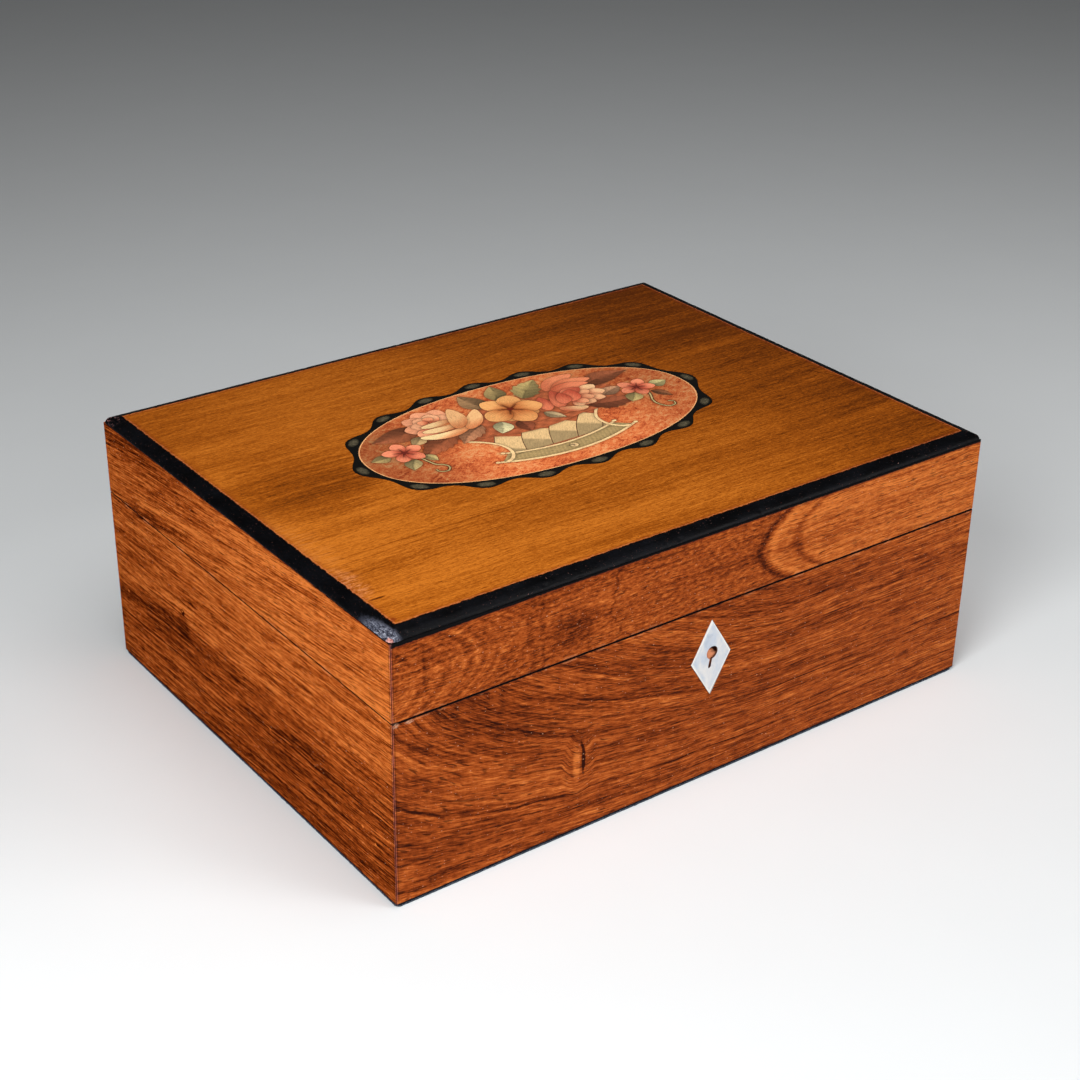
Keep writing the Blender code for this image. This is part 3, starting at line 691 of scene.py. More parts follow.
def make_felt():
    """A thin sheet of felt under the base, with a ragged edge and loose fibres; a closed mesh."""
    mesh = bmesh.new()
    section = [(FELT_REACH_MM, FELT_MM), (0.55, FELT_MM), (0.12, FELT_MM * 0.8), (0, FELT_MM * 0.45),
               (0.2, 0.05), (0.6, 0), (FELT_REACH_MM, 0)]
    rings = [[] for _ in section]
    for side, (_, (ox, oy)) in SIDES.items():
        for station in side_stations(halves(side)[0], FELT_PACE_MM)[:-1]:
            for ring, (inset, z) in zip(rings, section):
                x, y = place_in_plan(side, station, inset + FELT_INSET_MM)
                ragged = 0
                if inset < 1:
                    ragged = 0.18 * abs(waver(x, y, z, 0.5, 41)) + 0.10 * abs(waver(x, y, z, 1.7, 43))
                ring.append(mesh.verts.new((x - ox * ragged, y - oy * ragged, z)))
    skin(mesh, rings)
    bmesh.ops.remove_doubles(mesh, verts=mesh.verts, dist=WELD_MM)
    add_fibres(mesh)
    felt = new_piece("felt_sheet", mesh, "base", "base_felt", "felt", felt_material())


def add_fibres(mesh):
    """Loose fibres that hang along the felt's visible edges."""
    chance = random.Random(5)
    for _ in range(FIBRES):
        side = chance.choice(("front", "left", "front", "left", "right", "back"))
        (ax, ay), (ox, oy) = SIDES[side]
        half, out = halves(side)
        along = chance.uniform(4 - half, half - 4)
        length = chance.uniform(0.8, 3)
        height = chance.uniform(0.25, FELT_MM - 0.2)
        rise = chance.uniform(-0.35, 0.35)
        bulge = chance.uniform(0.1, 0.3)
        rings = []
        for k in range(5):
            t = k / 4
            a = along + length * (t - 0.5)
            o = out - FELT_INSET_MM - 0.2 + bulge * math.sin(math.pi * t)
            z = min(max(height + rise * (t - 0.5) * 2, 0.12), FELT_MM - 0.05)
            r = 0.07 * (1 - 0.6 * abs(2 * t - 1))
            ring = [(o + r, z), (o, z + r), (o - r, z), (o, z - r)]
            ring = [(a * ax + c * ox, CENTRE_Y + a * ay + c * oy, d) for c, d in ring]
            rings.append([mesh.verts.new(point) for point in ring])
        skin(mesh, rings)


def felt_material():
    s = Surface("grey_blue_felt")
    tangle = s.noise(s.x * 1.2, s.y * 1.2, s.z * 2.2, 5, 0.8)
    threads = s.noise(s.x * 0.5 + s.y * 0.4, s.y * 0.5 - s.x * 0.3, s.z * 5, 3, 0.7).near(0, 0.035)
    s.color = s.ramp(tangle * 2 + 0.45, (0.1, (12, 15, 22)), (0.5, (34, 42, 54)), (0.95, (84, 96, 112)))
    s.coat(threads * 0.6, (158, 170, 188))
    s.coat(s.z.between(FELT_MM - 0.4, FELT_MM - 0.1), (12, 12, 16))
    return s.done(0.95, tangle, 0.15, Specular_IOR_Level=0.1)


def pearl_material():
    """Bluish-white shell with slow bands of pink, cream and grey, paler rims as painted highlight, and painted
    shade in the keyhole.
    """
    s = Surface("shell")
    u, v = s.x - PLATE_X, s.z - PLATE_Z
    warp = s.noise(u * 0.09, v * 0.09, 1, 3)
    bands = s.noise(u * 0.10 + v * 0.04 + warp * 2, v * 0.05 - u * 0.05, 2, 4, 0.6)
    s.color = s.ramp(bands * 1.9 + 0.5, (0.05, (158, 168, 184)), (0.4, (190, 199, 212)),
                     (0.6, (208, 210, 214)), (0.95, (234, 230, 224)))
    fine = s.noise(u * 0.5, v * 0.35, 3, 4, 0.7)
    s.coat((fine + 0.5).between(0.35, 0.75) * 0.25, (238, 232, 222))
    rim = u.size() / (PLATE_RIGHT - PLATE_X) + v.size() / (PLATE_TOP - PLATE_Z)
    # Painted highlight: the paler rims.
    s.coat(rim.between(0.86, 0.99) * 0.7, (250, 244, 232))
    s.coat(rim.between(0.98, 1) * (u - v * 0.2).between(-3, 2) * 0.5, (60, 36, 26))
    # Painted shade: dark on the faces behind the front, the walls of the keyhole.
    s.coat(s.y.between(FRONT + 0.05, FRONT + 0.2), (70, 36, 24))
    return s.done(0.34, fine, 0.02, Specular_IOR_Level=0.3)


def brass_material():
    s = Surface("aged_brass")
    cloud = s.noise(s.x * 0.25, s.y * 0.25, s.z * 0.25, 4, 0.65)
    s.color = s.ramp(cloud * 1.5 + 0.5, (0.1, (96, 70, 34)), (0.5, (168, 132, 70)), (0.9, (206, 172, 104)))
    return s.done(cloud * 0.4 + 0.42, cloud, 0.03, Metallic=1)


def make_trim():
    make_edging()
    make_felt()
    dress(["keyhole_plate"], pearl_material())
    dress([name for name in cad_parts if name.startswith(("hinge_", "screw_"))], brass_material())


# Marquetry oval. Places on it are in millimetres from the box's middle, with y towards the back.
LOBES, LOBE_STEPS = 16, 12
LOBE_SHARPNESS = 1.1
VALLEY_MM, CREST_MM = 2.1, 6.7
OVAL_POWER = 2.2
OVAL_STEPS = 240
INLAY_LOW, INLAY_HIGH = (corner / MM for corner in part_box("lid_inlay"))
INLAY_MIDDLE = np.array([(INLAY_LOW.x + INLAY_HIGH.x) / 2, (INLAY_LOW.y + INLAY_HIGH.y) / 2 - CENTRE_Y])
GROUND_HALF_X = (INLAY_HIGH.x - INLAY_LOW.x) / 2 - CREST_MM
GROUND_HALF_Y = (INLAY_HIGH.y - INLAY_LOW.y) / 2 - CREST_MM
STRINGING_MM = 0.5
MESH_PACE_MM = 0.45
SHADE_REACH_MM = 2
# The first patches are the border, its beads, the stringing and the ground
GROUND = LOBES + 2

# Dyed and scorched veneers, as they look under the studio's light
CREAM, AMBER = (255, 216, 160), (250, 180, 112)
SALMON, PINK = (248, 146, 106), (250, 150, 114)
OLIVE, PALE_GREEN = (160, 138, 92), (214, 204, 158)
DARK_LEAF, UNDERGROWTH, NEAR_BLACK = (146, 84, 56), (184, 100, 64), (17, 16, 15)
STRINGING, BEAD, VEIN = (246, 180, 124), (98, 90, 70), (84, 44, 30)
LATTICE_LIGHT, LATTICE_DARK, BAND = (240, 202, 146), (178, 152, 110), (180, 154, 106)
BEAD_HALF_LENGTH, BEAD_HALF_WIDTH, BEAD_REACH = 4.1, 2.2, 3.4


def unit(angle):
    return np.array([math.cos(angle), math.sin(angle)])


def smooth_step(values):
    values = np.clip(values, 0, 1)
    return values * values * (3 - 2 * values)


def ellipse(centre, half_x, half_y, steps, turn=0):
    angles = np.linspace(0, 2 * math.pi, steps, endpoint=False)
    return bent(centre, turn, half_x * np.cos(angles), half_y * np.sin(angles))


def oval_edge(angles):
    """Points of the ground's edge, seen from its middle, and the directions outwards there."""
    halves_xy = np.array([GROUND_HALF_X, GROUND_HALF_Y])
    turns = np.stack([np.cos(angles), np.sin(angles)], axis=-1)
    shares = np.abs(turns) ** (2 / OVAL_POWER)
    outwards = np.sign(turns) * shares ** (OVAL_POWER - 1) / halves_xy
    return np.sign(turns) * shares * halves_xy, outwards / np.linalg.norm(outwards, axis=-1, keepdims=True)


def even_angles(count):
    """Angles whose places on the ground's edge lie evenly along it."""
    fine = np.linspace(0, 2 * math.pi, 4001)
    paces = np.linalg.norm(np.diff(oval_edge(fine)[0], axis=0), axis=1)
    length = np.concatenate([[0], np.cumsum(paces)])
    return np.interp(np.arange(count) * length[-1] / count, length, fine)


def outside_ground(angle, reach):
    """A point outside the ground's edge, and the direction along that edge."""
    edge, normal = oval_edge(angle)
    return INLAY_MIDDLE + edge + normal * reach, math.atan2(normal[1], normal[0]) + math.pi / 2


def ground_outline(reach):
    return np.array([outside_ground(angle, reach)[0] for angle in even_angles(OVAL_STEPS)])


def lobed_outline():
    """The same evenly lobed outline as the solid's."""
    points = []
    for k, angle in enumerate(even_angles(LOBES * LOBE_STEPS)):
        wave = (0.5 + 0.5 * math.cos(2 * math.pi * k / LOBE_STEPS)) ** LOBE_SHARPNESS
        points.append(outside_ground(angle, VALLEY_MM + (CREST_MM - VALLEY_MM) * wave)[0])
    return np.array(points)


def bent(base, angle, along, across):
    """Points at distances along a direction from a base, and across it."""
    return np.array(base) + np.outer(along, unit(angle)) + np.outer(across, unit(angle + math.pi / 2))


def blade_outline(base, angle, t, length, half, bend):
    """An outline on both sides of a midline; bend moves its middle sideways."""
    middle = bend * np.sin(math.pi * t)
    left = bent(base, angle, t * length, middle + half)
    right = bent(base, angle, t * length, middle - half)
    return np.concatenate([left[:-1], right[:0:-1]])


def petal_outline(base, angle, length, width, bend, narrow, blunt):
    """A petal that starts in a point."""
    t = 0.5 - 0.5 * np.cos(np.linspace(0, math.pi, 15))
    half = width / 2 * np.sin(math.pi * t ** narrow) ** blunt
    return blade_outline(base, angle, t, length, half, bend)


def leaf_outline(base, angle, length, width, bend, teeth):
    """A pointed leaf, with teeth that point to its tip."""
    t = np.linspace(0, 1, 41 if teeth else 17)
    half = width / 2 * np.sin(math.pi * t ** 0.8)
    if teeth:
        half *= 0.86 + 0.26 * ((t * teeth) % 1)
    return blade_outline(base, angle, t, length, half, bend)


def curve(points, steps=8):
    """A smooth line through points."""
    points = np.array(points, dtype=float)
    ends = np.concatenate([[2 * points[0] - points[1]], points, [2 * points[-1] - points[-2]]])
    t = np.linspace(0, 1, steps, endpoint=False)[:, None]
    line = []
    for a, b, c, d in zip(ends, ends[1:], ends[2:], ends[3:]):
        bow = (2 * a - 5 * b + 4 * c - d) * t ** 2
        line.append(0.5 * (2 * b + (c - a) * t + bow + (3 * b - a - 3 * c + d) * t ** 3))
    return np.concatenate(line + [points[-1:]])


def stroke_outline(line, width, end_width=None):
    """A ribbon along a line, from one width to another."""
    ahead = np.gradient(line, axis=0)
    ahead /= np.linalg.norm(ahead, axis=1)[:, None]
    side = np.stack([-ahead[:, 1], ahead[:, 0]], axis=1)
    half = np.linspace(width, width if end_width is None else end_width, len(line))[:, None] / 2
    return np.concatenate([line + side * half, (line - side * half)[::-1]])


def even_paint(color, uneven=0.06):
    """One colour with slow shifts of tone."""
    def paint(points):
        wave = np.sin(points[:, 0] * 0.9 + 1.3) * np.sin(points[:, 1] * 1.1 + 0.4)
        return np.array(color) * (1 + uneven * wave)[:, None]
    return paint


def petal_paint(base, angle, length, width, deep, pale):
    """Scorched at the base and along one side, pale at the rim, with faint veins."""
    def paint(points):
        from_base = points - np.array(base)
        along = from_base @ unit(angle) / length
        across = from_base @ unit(angle + math.pi / 2) / (width / 2)
        low = from_base @ np.array((0.25, -0.97)) / width
        lit = 0.18 + 0.95 * smooth_step(along * 1.25) - 0.26 * across ** 2 - 0.26 * low
        lit += 0.06 * np.cos(across * 11 + along * 3) * (1 - along)
        lit = np.clip(lit, 0, 1)[:, None]
        return np.array(deep) * (1 - lit) + np.array(pale) * lit
    return paint


def leaf_paint(base, angle, length, width, bend, color):
    """Halves of two tones, a dark midrib and slanting veins."""
    def paint(points):
        from_base = points - np.array(base)
        along = from_base @ unit(angle) / length
        across = from_base @ unit(angle + math.pi / 2) - bend * np.sin(math.pi * np.clip(along, 0, 1))
        reach = np.abs(across) / (width / 2)
        light = np.where(across > 0, 1.12, 0.84) - 0.12 * reach
        light -= 0.16 * np.exp(-(across / 0.45) ** 2)
        vein = (along * 6.5 - reach * 1.1) % 1
        light -= 0.10 * np.exp(-((vein - 0.5) / 0.13) ** 2)
        light *= 0.86 + 0.24 * smooth_step(along * 1.4)
        return np.array(color) * light[:, None]
    return paint


class Marquetry:
    """Patches of veneer, each laid over those before it."""

    def __init__(self):
        self.outlines, self.paints, self.turns, self.clips, self.burrs = [], [], [], [], []
        self.chance = random.Random(11)

    def lay(self, outline, paint, turn=0, clip=None, burr=0):
        """Adds a patch on top; the flat sheet's cutting needs its outline to run anticlockwise."""
        outline = np.array(outline)
        ahead = np.roll(outline, -1, axis=0)
        area = np.sum(outline[:, 0] * ahead[:, 1] - ahead[:, 0] * outline[:, 1])
        self.outlines.append(outline if area > 0 else outline[::-1])
        self.paints.append(paint)
        self.turns.append(turn)
        self.clips.append(clip)
        self.burrs.append(burr)
        return len(self.outlines) - 1

    def petal(self, base, angle, length, width, deep, pale, bend, narrow, blunt):
        tone = self.chance.uniform(0.95, 1.05)
        deep, pale = [tuple(np.array(color) * tone) for color in (deep, pale)]
        outline = petal_outline(base, angle, length, width, bend, narrow, blunt)
        self.lay(outline, petal_paint(base, angle, length, width, deep, pale), angle)

    def leaves(self, *leaves):
        """Leaves given as (base, degrees, length, width, colour, bend), some with a number of teeth."""
        for base, degrees, length, width, color, bend, *teeth in leaves:
            angle = math.radians(degrees)
            outline = leaf_outline(base, angle, length, width, bend, sum(teeth))
            self.lay(outline, leaf_paint(base, angle, length, width, bend, color), angle + 0.5)

    def petals(self, deep, pale, shape, *petals):
        """Petals given as (base, degrees, length, width), some with a bend, all of one shape."""
        for base, degrees, length, width, *bend in petals:
            self.petal(base, math.radians(degrees), length, width, deep, pale, sum(bend), *shape)

    def stroke(self, points, width, color, end_width=None):
        line = curve(points)
        turn = math.atan2(*(line[-1] - line[0])[::-1])
        self.lay(stroke_outline(line, width, end_width), even_paint(color), turn)

    def dot(self, centre, half_x, half_y, color, steps=12):
        self.lay(ellipse(centre, half_x, half_y, steps), even_paint(color))

    def flower(self, centre, radius, turn, heart, count=5, width=0.68, deep=(176, 70, 52), pale=PINK):
        """Separate rounded petals round a dark heart, with a slit in each petal."""
        for k in range(count):
            angle = turn + 2 * math.pi * k / count + self.chance.uniform(-0.1, 0.1)
            base = np.array(centre) + unit(angle) * radius * 0.06
            length = radius * self.chance.uniform(0.88, 0.98)
            self.petal(base, angle, length, radius * width, deep, pale, 0, *ROUND)
        for k in range(count):
            angle = turn + 2 * math.pi * k / count
            slit = [np.array(centre) + unit(angle + 0.08 * t) * radius * t for t in (0.08, 0.25, 0.42)]
            self.stroke(slit, radius * 0.05, heart, 0.1)
        self.dot(centre, radius * 0.13, radius * 0.12, heart)


def lay_border(inlay):
    inlay.lay(lobed_outline(), even_paint(NEAR_BLACK, 0.2))
    for angle in even_angles(LOBES):
        place, turn = outside_ground(angle, BEAD_REACH)
        bead = ellipse(place, BEAD_HALF_LENGTH, BEAD_HALF_WIDTH, 24, turn)
        inlay.lay(bead, bead_paint(place, turn), turn, burr=0.5)
    inlay.lay(ground_outline(0), even_paint(STRINGING, 0.1))
    inlay.lay(ground_outline(-STRINGING_MM), ground_painted_light, burr=1)


def ground_painted_light(points):
    """Painted light: white at the front, darker towards both ends and the back; the material gives the burr
    its colours.
    """
    left = smooth_step((-points[:, 0] - 35) / 40)
    right = smooth_step((points[:, 0] - 25) / 40)
    back = smooth_step((points[:, 1] + 22) / 40)
    return np.array((255, 252, 250)) * (1 - 0.22 * left - 0.13 * right - 0.05 * back)[:, None]


def bead_paint(place, turn):
    """Greyish olive, darker at its rim."""
    def paint(points):
        along = (points - place) @ unit(turn) / BEAD_HALF_LENGTH
        across = (points - place) @ unit(turn + math.pi / 2) / BEAD_HALF_WIDTH
        light = 0.88 - 0.50 * smooth_step((np.hypot(along, across) - 0.62) * 2.8)
        light += 0.10 * np.sin(points[:, 0] * 1.3) * np.cos(points[:, 1] * 1.9)
        return np.array(BEAD) * light[:, None]
    return paint


# The basket: its curved side, and the slanting lines of its lattice, in millimetres
BASKET_X = -1.6
BASKET_SIDE = ((35, 2.2), (30.2, -1.6), (26, -7), (24.7, -12), (25.4, -16.8), (28.4, -21.2), (32.6, -23.2))
LATTICE_FOOT, LATTICE_PEAK = (-34.4, -19.6), (-24.4, 0.4)
LATTICE_PACE = (13.2, 15)
LATTICE_STRIPS = 5


def basket_line(flip):
    return [(BASKET_X + flip * x, y) for x, y in BASKET_SIDE]


def sagging(half, ends_y, middle_y):
    """A line between two ends that hangs down in the middle."""
    return [(BASKET_X + half * t, middle_y + (ends_y - middle_y) * t * t) for t in np.linspace(-1, 1, 9)]


def lattice_line(k):
    foot = np.array([LATTICE_FOOT[0] + LATTICE_PACE[0] * k, LATTICE_FOOT[1]])
    peak = np.array([LATTICE_PEAK[0] + LATTICE_PACE[1] * k, LATTICE_PEAK[1] + 1.2 * math.sin(k * 1.1)])
    return curve([foot, (foot + peak) / 2 + np.array([-0.9, 0.5]), peak])


def lay_basket(inlay):
    left, right = curve(basket_line(-1)), curve(basket_line(1))
    foot = curve(sagging(33, -23.2, -29.6))
    body = inlay.lay(np.concatenate([left, foot[2:-2], right[::-1]]), even_paint(UNDERGROWTH), 0.3)
    for k in range(LATTICE_STRIPS):
        line, following = lattice_line(k), lattice_line(k + 1)
        falling = following[:round(len(following) * 0.66)]
        inlay.lay(np.concatenate([line, falling[::-1]]), lattice_paint(line[-1]), 0.9, clip=body)
    for k in range(LATTICE_STRIPS):
        inlay.lay(stroke_outline(lattice_line(k), 0.36), even_paint(VEIN), clip=body)
    band = np.concatenate([curve(sagging(27.5, -16.6, -21.4)), curve(sagging(34, -22.4, -29.6))[::-1]])
    inlay.lay(band, band_paint)
    inlay.stroke(sagging(29.2, -15.8, -21.4), 1.25, CREAM, 1.15)
    inlay.stroke(sagging(35.8, -21.8, -29.7), 1.5, CREAM, 1.3)
    for flip in (-1, 1):
        inlay.stroke(basket_line(flip), 1.15, CREAM, 1.6)
        for x, y in ((29.4, -15.4), (36.2, -21.6)):
            inlay.dot((BASKET_X + flip * x, y), 1.05, 0.9, CREAM)
    inlay.dot((BASKET_X + 0.2, -25.4), 1.9, 1.8, CREAM, 20)
    inlay.stroke([(-3.6, -25), (-2.6, -24.6), (-1.4, -25), (-1.6, -26)], 0.3, VEIN)


def lattice_paint(peak):
    """Pale near its peak, greyer below."""
    def paint(points):
        up = smooth_step(((points - peak) @ np.array((0.6, 0.8)) + 12.5) / 2)[:, None]
        shade = 1 - 0.22 * smooth_step((points[:, 1] - peak[1] + 4) / 5)
        return (np.array(LATTICE_DARK) * (1 - up) + np.array(LATTICE_LIGHT) * up) * shade[:, None]
    return paint


def band_paint(points):
    x, y = points.T
    scratch = np.sin(x * 2.4 + y * 1.7) * np.sin(x * 0.9 - y * 3.1)
    return np.array(BAND) * (1 + 0.10 * scratch)[:, None]


def lay_leaves(inlay):
    """Dark undergrowth, and the leaves that lie behind the flowers."""
    thicket = ((-50, 14), (-42, 8), (-30, 2), (-22, 1), (-12, -3), (0, -4), (12, -3), (22, -1), (34, -1),
               (44, 1), (50, 6), (48, 20), (30, 27), (12, 30), (-10, 32), (-20, 24), (-30, 20), (-50, 14))
    inlay.lay(curve(thicket)[:-1], even_paint(UNDERGROWTH, 0.12), 0.4)
    inlay.leaves(
        ((-46, 27), 188, 25, 13, DARK_LEAF, 1.8),
        ((-36, 12), 208, 27, 12, (156, 88, 58), -1.2, 6),
        ((-50, 18), 220, 10, 7, (190, 158, 112), 0.6),
        ((-9, 26), 104, 19, 12, (150, 116, 82), 1.4),
        ((-2, 31), 66, 16, 10, OLIVE, -1),
        ((9, 26), 42, 22, 13, (172, 152, 100), 0.8, 5),
        ((40, 22), 8, 27, 12, DARK_LEAF, 2.2),
        ((28, 5), -12, 25, 12, (146, 82, 56), -1.6, 6),
        ((41, 9), 18, 13, 8, (182, 136, 104), 0.6),
        ((-22, 13), 214, 20, 11, (172, 118, 86), -1.4, 5),
        ((-13, 11), 236, 12, 9, PALE_GREEN, 0.8),
        ((8, 9), 300, 11, 6, (186, 160, 122), -0.6),
        ((-6, 8), 262, 12, 8, (140, 76, 52), 0.5),
    )


# Shapes of petals, as (how early it widens, how blunt it is)
ROUND, LONG, ROLLED = (1.15, 0.6), (0.85, 0.6), (0.95, 0.38)


def lay_left_rose(inlay):
    """Rosy petals round a curled heart, cream petals rolled beneath it, and two tall ones beside it."""
    inlay.petals((196, 96, 66), (248, 168, 128), ROUND, ((-37, 26), 58, 14, 10), ((-38, 25), 96, 15, 11),
                 ((-39, 25), 132, 14, 10), ((-40, 23), 166, 13, 10), ((-40, 21), 200, 11, 9))
    inlay.petals((200, 104, 70), (250, 180, 138), ROUND, ((-37, 26), 34, 9, 7), ((-37.5, 26), 78, 9.5, 8),
                 ((-39, 26), 122, 9, 8), ((-40, 26), 168, 8.5, 7))
    inlay.petals((186, 88, 60), (244, 160, 118), ROUND, ((-39, 28), 60, 5.5, 5, 0.5),
                 ((-39, 29), 170, 5, 4.5, 0.5), ((-38.6, 28.6), 290, 4.6, 4, 0.5))
    inlay.petals((214, 132, 84), CREAM, ROLLED, ((-30, 25.4), 182, 15, 4.6, 0.5),
                 ((-29.5, 19.4), 176, 17.5, 5, 0.9), ((-27.5, 14.6), 176, 23.5, 5.8, 2.6))
    inlay.petals((206, 120, 74), (252, 194, 136), LONG, ((-28.4, 12.6), 50, 21, 7.6, -1),
                 ((-31.8, 15.6), 70, 21, 8.4, -1.6))


def lay_amber_flower(inlay):
    deep = (186, 96, 48)
    inlay.petals(deep, (236, 166, 104), ROUND, ((-2, 20), 18, 12, 9), ((-2, 20), 238, 13, 9),
                 ((-2, 20), 312, 13, 10))
    inlay.petals(deep, AMBER, ROUND, ((-2.4, 20.4), 122, 14, 11), ((-1.6, 20.6), 60, 14, 11),
                 ((-1.4, 20), -12, 14.5, 12), ((-2, 19.4), -84, 15, 12.5), ((-2.6, 19.8), 200, 15, 12.5))
    for degrees in (95, 30, 318, 236, 160):
        slit = [np.array((-2, 20)) + unit(math.radians(degrees)) * t for t in (0.6, 3, 5.5)]
        inlay.stroke(slit, 0.9, (128, 58, 30), 0.15)
    inlay.dot((-2, 20), 1.7, 1.4, (112, 40, 26))


def lay_right_rose(inlay):
    """Pink petals behind, salmon ones folded to the left, and a fan of cream-tipped ones to the right."""
    inlay.petals((204, 108, 74), (242, 146, 104), LONG, ((22, 27), 24, 23, 9, 2), ((24, 24), 10, 24, 9, 2.6))
    inlay.petals((186, 86, 58), SALMON, LONG, ((22, 23), 4, 22, 8, 2.2))
    inlay.petals((176, 74, 54), SALMON, ROUND, ((15.5, 23), -106, 14.5, 7.5), ((24, 26), -112, 19, 8, 1.4))
    inlay.petals((206, 112, 78), CREAM, ROLLED, ((16, 8.2), -24, 13, 5.4, -1.2), ((26, 6.8), 6, 8, 4, -0.5))
    inlay.petals((184, 84, 60), (250, 196, 148), ROUND, ((33, 17), 20, 12, 7), ((34, 15), -8, 11, 7),
                 ((32, 13), -34, 10.5, 7), ((30, 12), -62, 8, 6.5), ((27, 12), -92, 7, 6))
    inlay.petals((190, 86, 62), (250, 180, 134), ROUND, ((30, 16), 8, 9, 5.5), ((29, 14), -22, 9, 5.5),
                 ((27, 13), -52, 7.5, 5.5))
    inlay.petals((178, 74, 54), (244, 138, 102), ROUND, ((37, 22), 194, 12, 8),
                 ((32, 22.5), 232, 13.5, 9.5, 0.8), ((26, 22), 246, 12, 7, 0.8))


def lay_sprays(inlay):
    """Small flowers with their leaves and tendrils, one on each side of the basket."""
    inlay.leaves(
        ((-71, 8.6), 182, 9.5, 7, OLIVE, 0.5),
        ((-64, 0.6), 236, 10.5, 7.5, (168, 150, 104), -0.6),
        ((-58.6, 2), 284, 8, 5, (186, 166, 112), 0.3),
        ((65, 6.6), 0, 9.5, 7.5, (190, 178, 124), -0.5),
        ((54, 3.4), 226, 10, 8, (178, 158, 104), 0.4),
        ((61.6, 1), 296, 10.5, 5, (132, 84, 56), 0.4),
    )
    for line in (
        ((-61.5, 1), (-60.6, -4), (-59.6, -8.2), (-57, -10.6), (-56.3, -13.4), (-58.6, -16), (-61.8, -15),
         (-62.2, -12.4)),
        ((60.4, 3), (58.4, -2.6), (55.6, -7.6), (55, -12), (57, -16.4), (60.6, -16.8), (62.4, -14),
         (60.6, -12)),
    ):
        inlay.stroke(line, 1.5, (112, 76, 46), 1)
        inlay.stroke(line, 0.8, (196, 176, 124), 0.5)
    inlay.flower((-64.4, 8.4), 9.6, 0.30, (112, 42, 34))
    inlay.flower((58.6, 7.8), 9, 0.90, (108, 42, 34))


def design():
    inlay = Marquetry()
    lay_border(inlay)
    lay_basket(inlay)
    lay_leaves(inlay)
    lay_sprays(inlay)
    lay_right_rose(inlay)
    lay_left_rose(inlay)
    lay_amber_flower(inlay)
    return inlay


def fine_points(inlay):
    """A grid of extra points near and inside the patches on the ground, clear of every outline."""
    rims = [dense(outline) for outline in inlay.outlines]
    edges, near = tree_of(np.concatenate(rims)), tree_of(np.concatenate(rims[GROUND + 1:]))
    low, high = INLAY_MIDDLE - (GROUND_HALF_X, GROUND_HALF_Y), INLAY_MIDDLE + (GROUND_HALF_X, GROUND_HALF_Y)
    chance = random.Random(3)
    points = []
    row_pace = MESH_PACE_MM * 0.87
    for row in range(int((high[1] - low[1]) / row_pace)):
        for column in range(int((high[0] - low[0]) / MESH_PACE_MM)):
            x = low[0] + (column + 0.5 * (row % 2)) * MESH_PACE_MM
            y = low[1] + row * MESH_PACE_MM * 0.87
            place = Vector((x + chance.uniform(-0.04, 0.04), y + chance.uniform(-0.04, 0.04), 0))
            if near.find(place)[2] < SHADE_REACH_MM * 1.5 and edges.find(place)[2] > 0.2:
                points.append((place.x, place.y))
    for angle in even_angles(LOBES):
        place, turn = outside_ground(angle, BEAD_REACH)
        for share, count in ((0, 1), (0.4, 8), (0.75, 16)):
            rim = ellipse(place, BEAD_HALF_LENGTH * share, BEAD_HALF_WIDTH * share, count, turn)
            points.extend(map(tuple, rim))
    return points


def dense(outline, pace=0.3):
    """Points along an outline, close together."""
    result = []
    for start, end in zip(outline, np.roll(outline, -1, axis=0)):
        count = max(1, math.ceil(np.linalg.norm(end - start) / pace))
        result.append(start + (end - start) * (np.arange(count) / count)[:, None])
    return np.concatenate(result)


def tree_of(points):
    tree = kdtree.KDTree(len(points))
    for k, (x, y) in enumerate(points):
        tree.insert((x, y, 0), k)
    tree.balance()
    return tree


def topmost(patches, clips):
    """The last patch of those that cover a place and whose clip, if any, covers it too."""
    return max(k for k in patches if clips[k] is None or clips[k] in patches)


def painted(inlay, places, owners):
    """Linear colours of places, each seen as part of one patch, darker where another patch lies over it."""
    colors = np.zeros((len(places), 4))
    for k in np.unique(owners):
        mine = owners == k
        shares = np.clip(inlay.paints[k](places[mine]), 0, 255) / 255
        colors[mine, :3] = np.where(shares <= 0.04045, shares / 12.92, ((shares + 0.055) / 1.055) ** 2.4)
        colors[mine, 3] = inlay.burrs[k]
    rims = [dense(outline) for outline in inlay.outlines]
    rim_owner = np.repeat(np.arange(len(rims)), [len(rim) for rim in rims])
    tree = tree_of(np.concatenate(rims))
    for i in np.flatnonzero(owners >= GROUND):
        closest = SHADE_REACH_MM
        for _, j, distance in tree.find_range((*places[i], 0), SHADE_REACH_MM):
            if rim_owner[j] > owners[i] and distance < closest and inlay.clips[rim_owner[j]] is None:
                closest = distance
        share = 1 - closest / SHADE_REACH_MM
        kerf = 0.62 if closest < 0.1 else 0
        depth = 0.40 if owners[i] > GROUND else 0.30
        colors[i, :3] *= (1 - depth * share ** 1.6) * (1 - kerf)
    return colors


def grain_places(inlay, places, owners):
    """Places turned into each patch's own grain: along, across, and a shift of its own."""
    turns = np.array(inlay.turns)[owners]
    along = places[:, 0] * np.cos(turns) + places[:, 1] * np.sin(turns)
    across = -places[:, 0] * np.sin(turns) + places[:, 1] * np.cos(turns)
    return np.stack([along, across, owners * 3.7], axis=1)


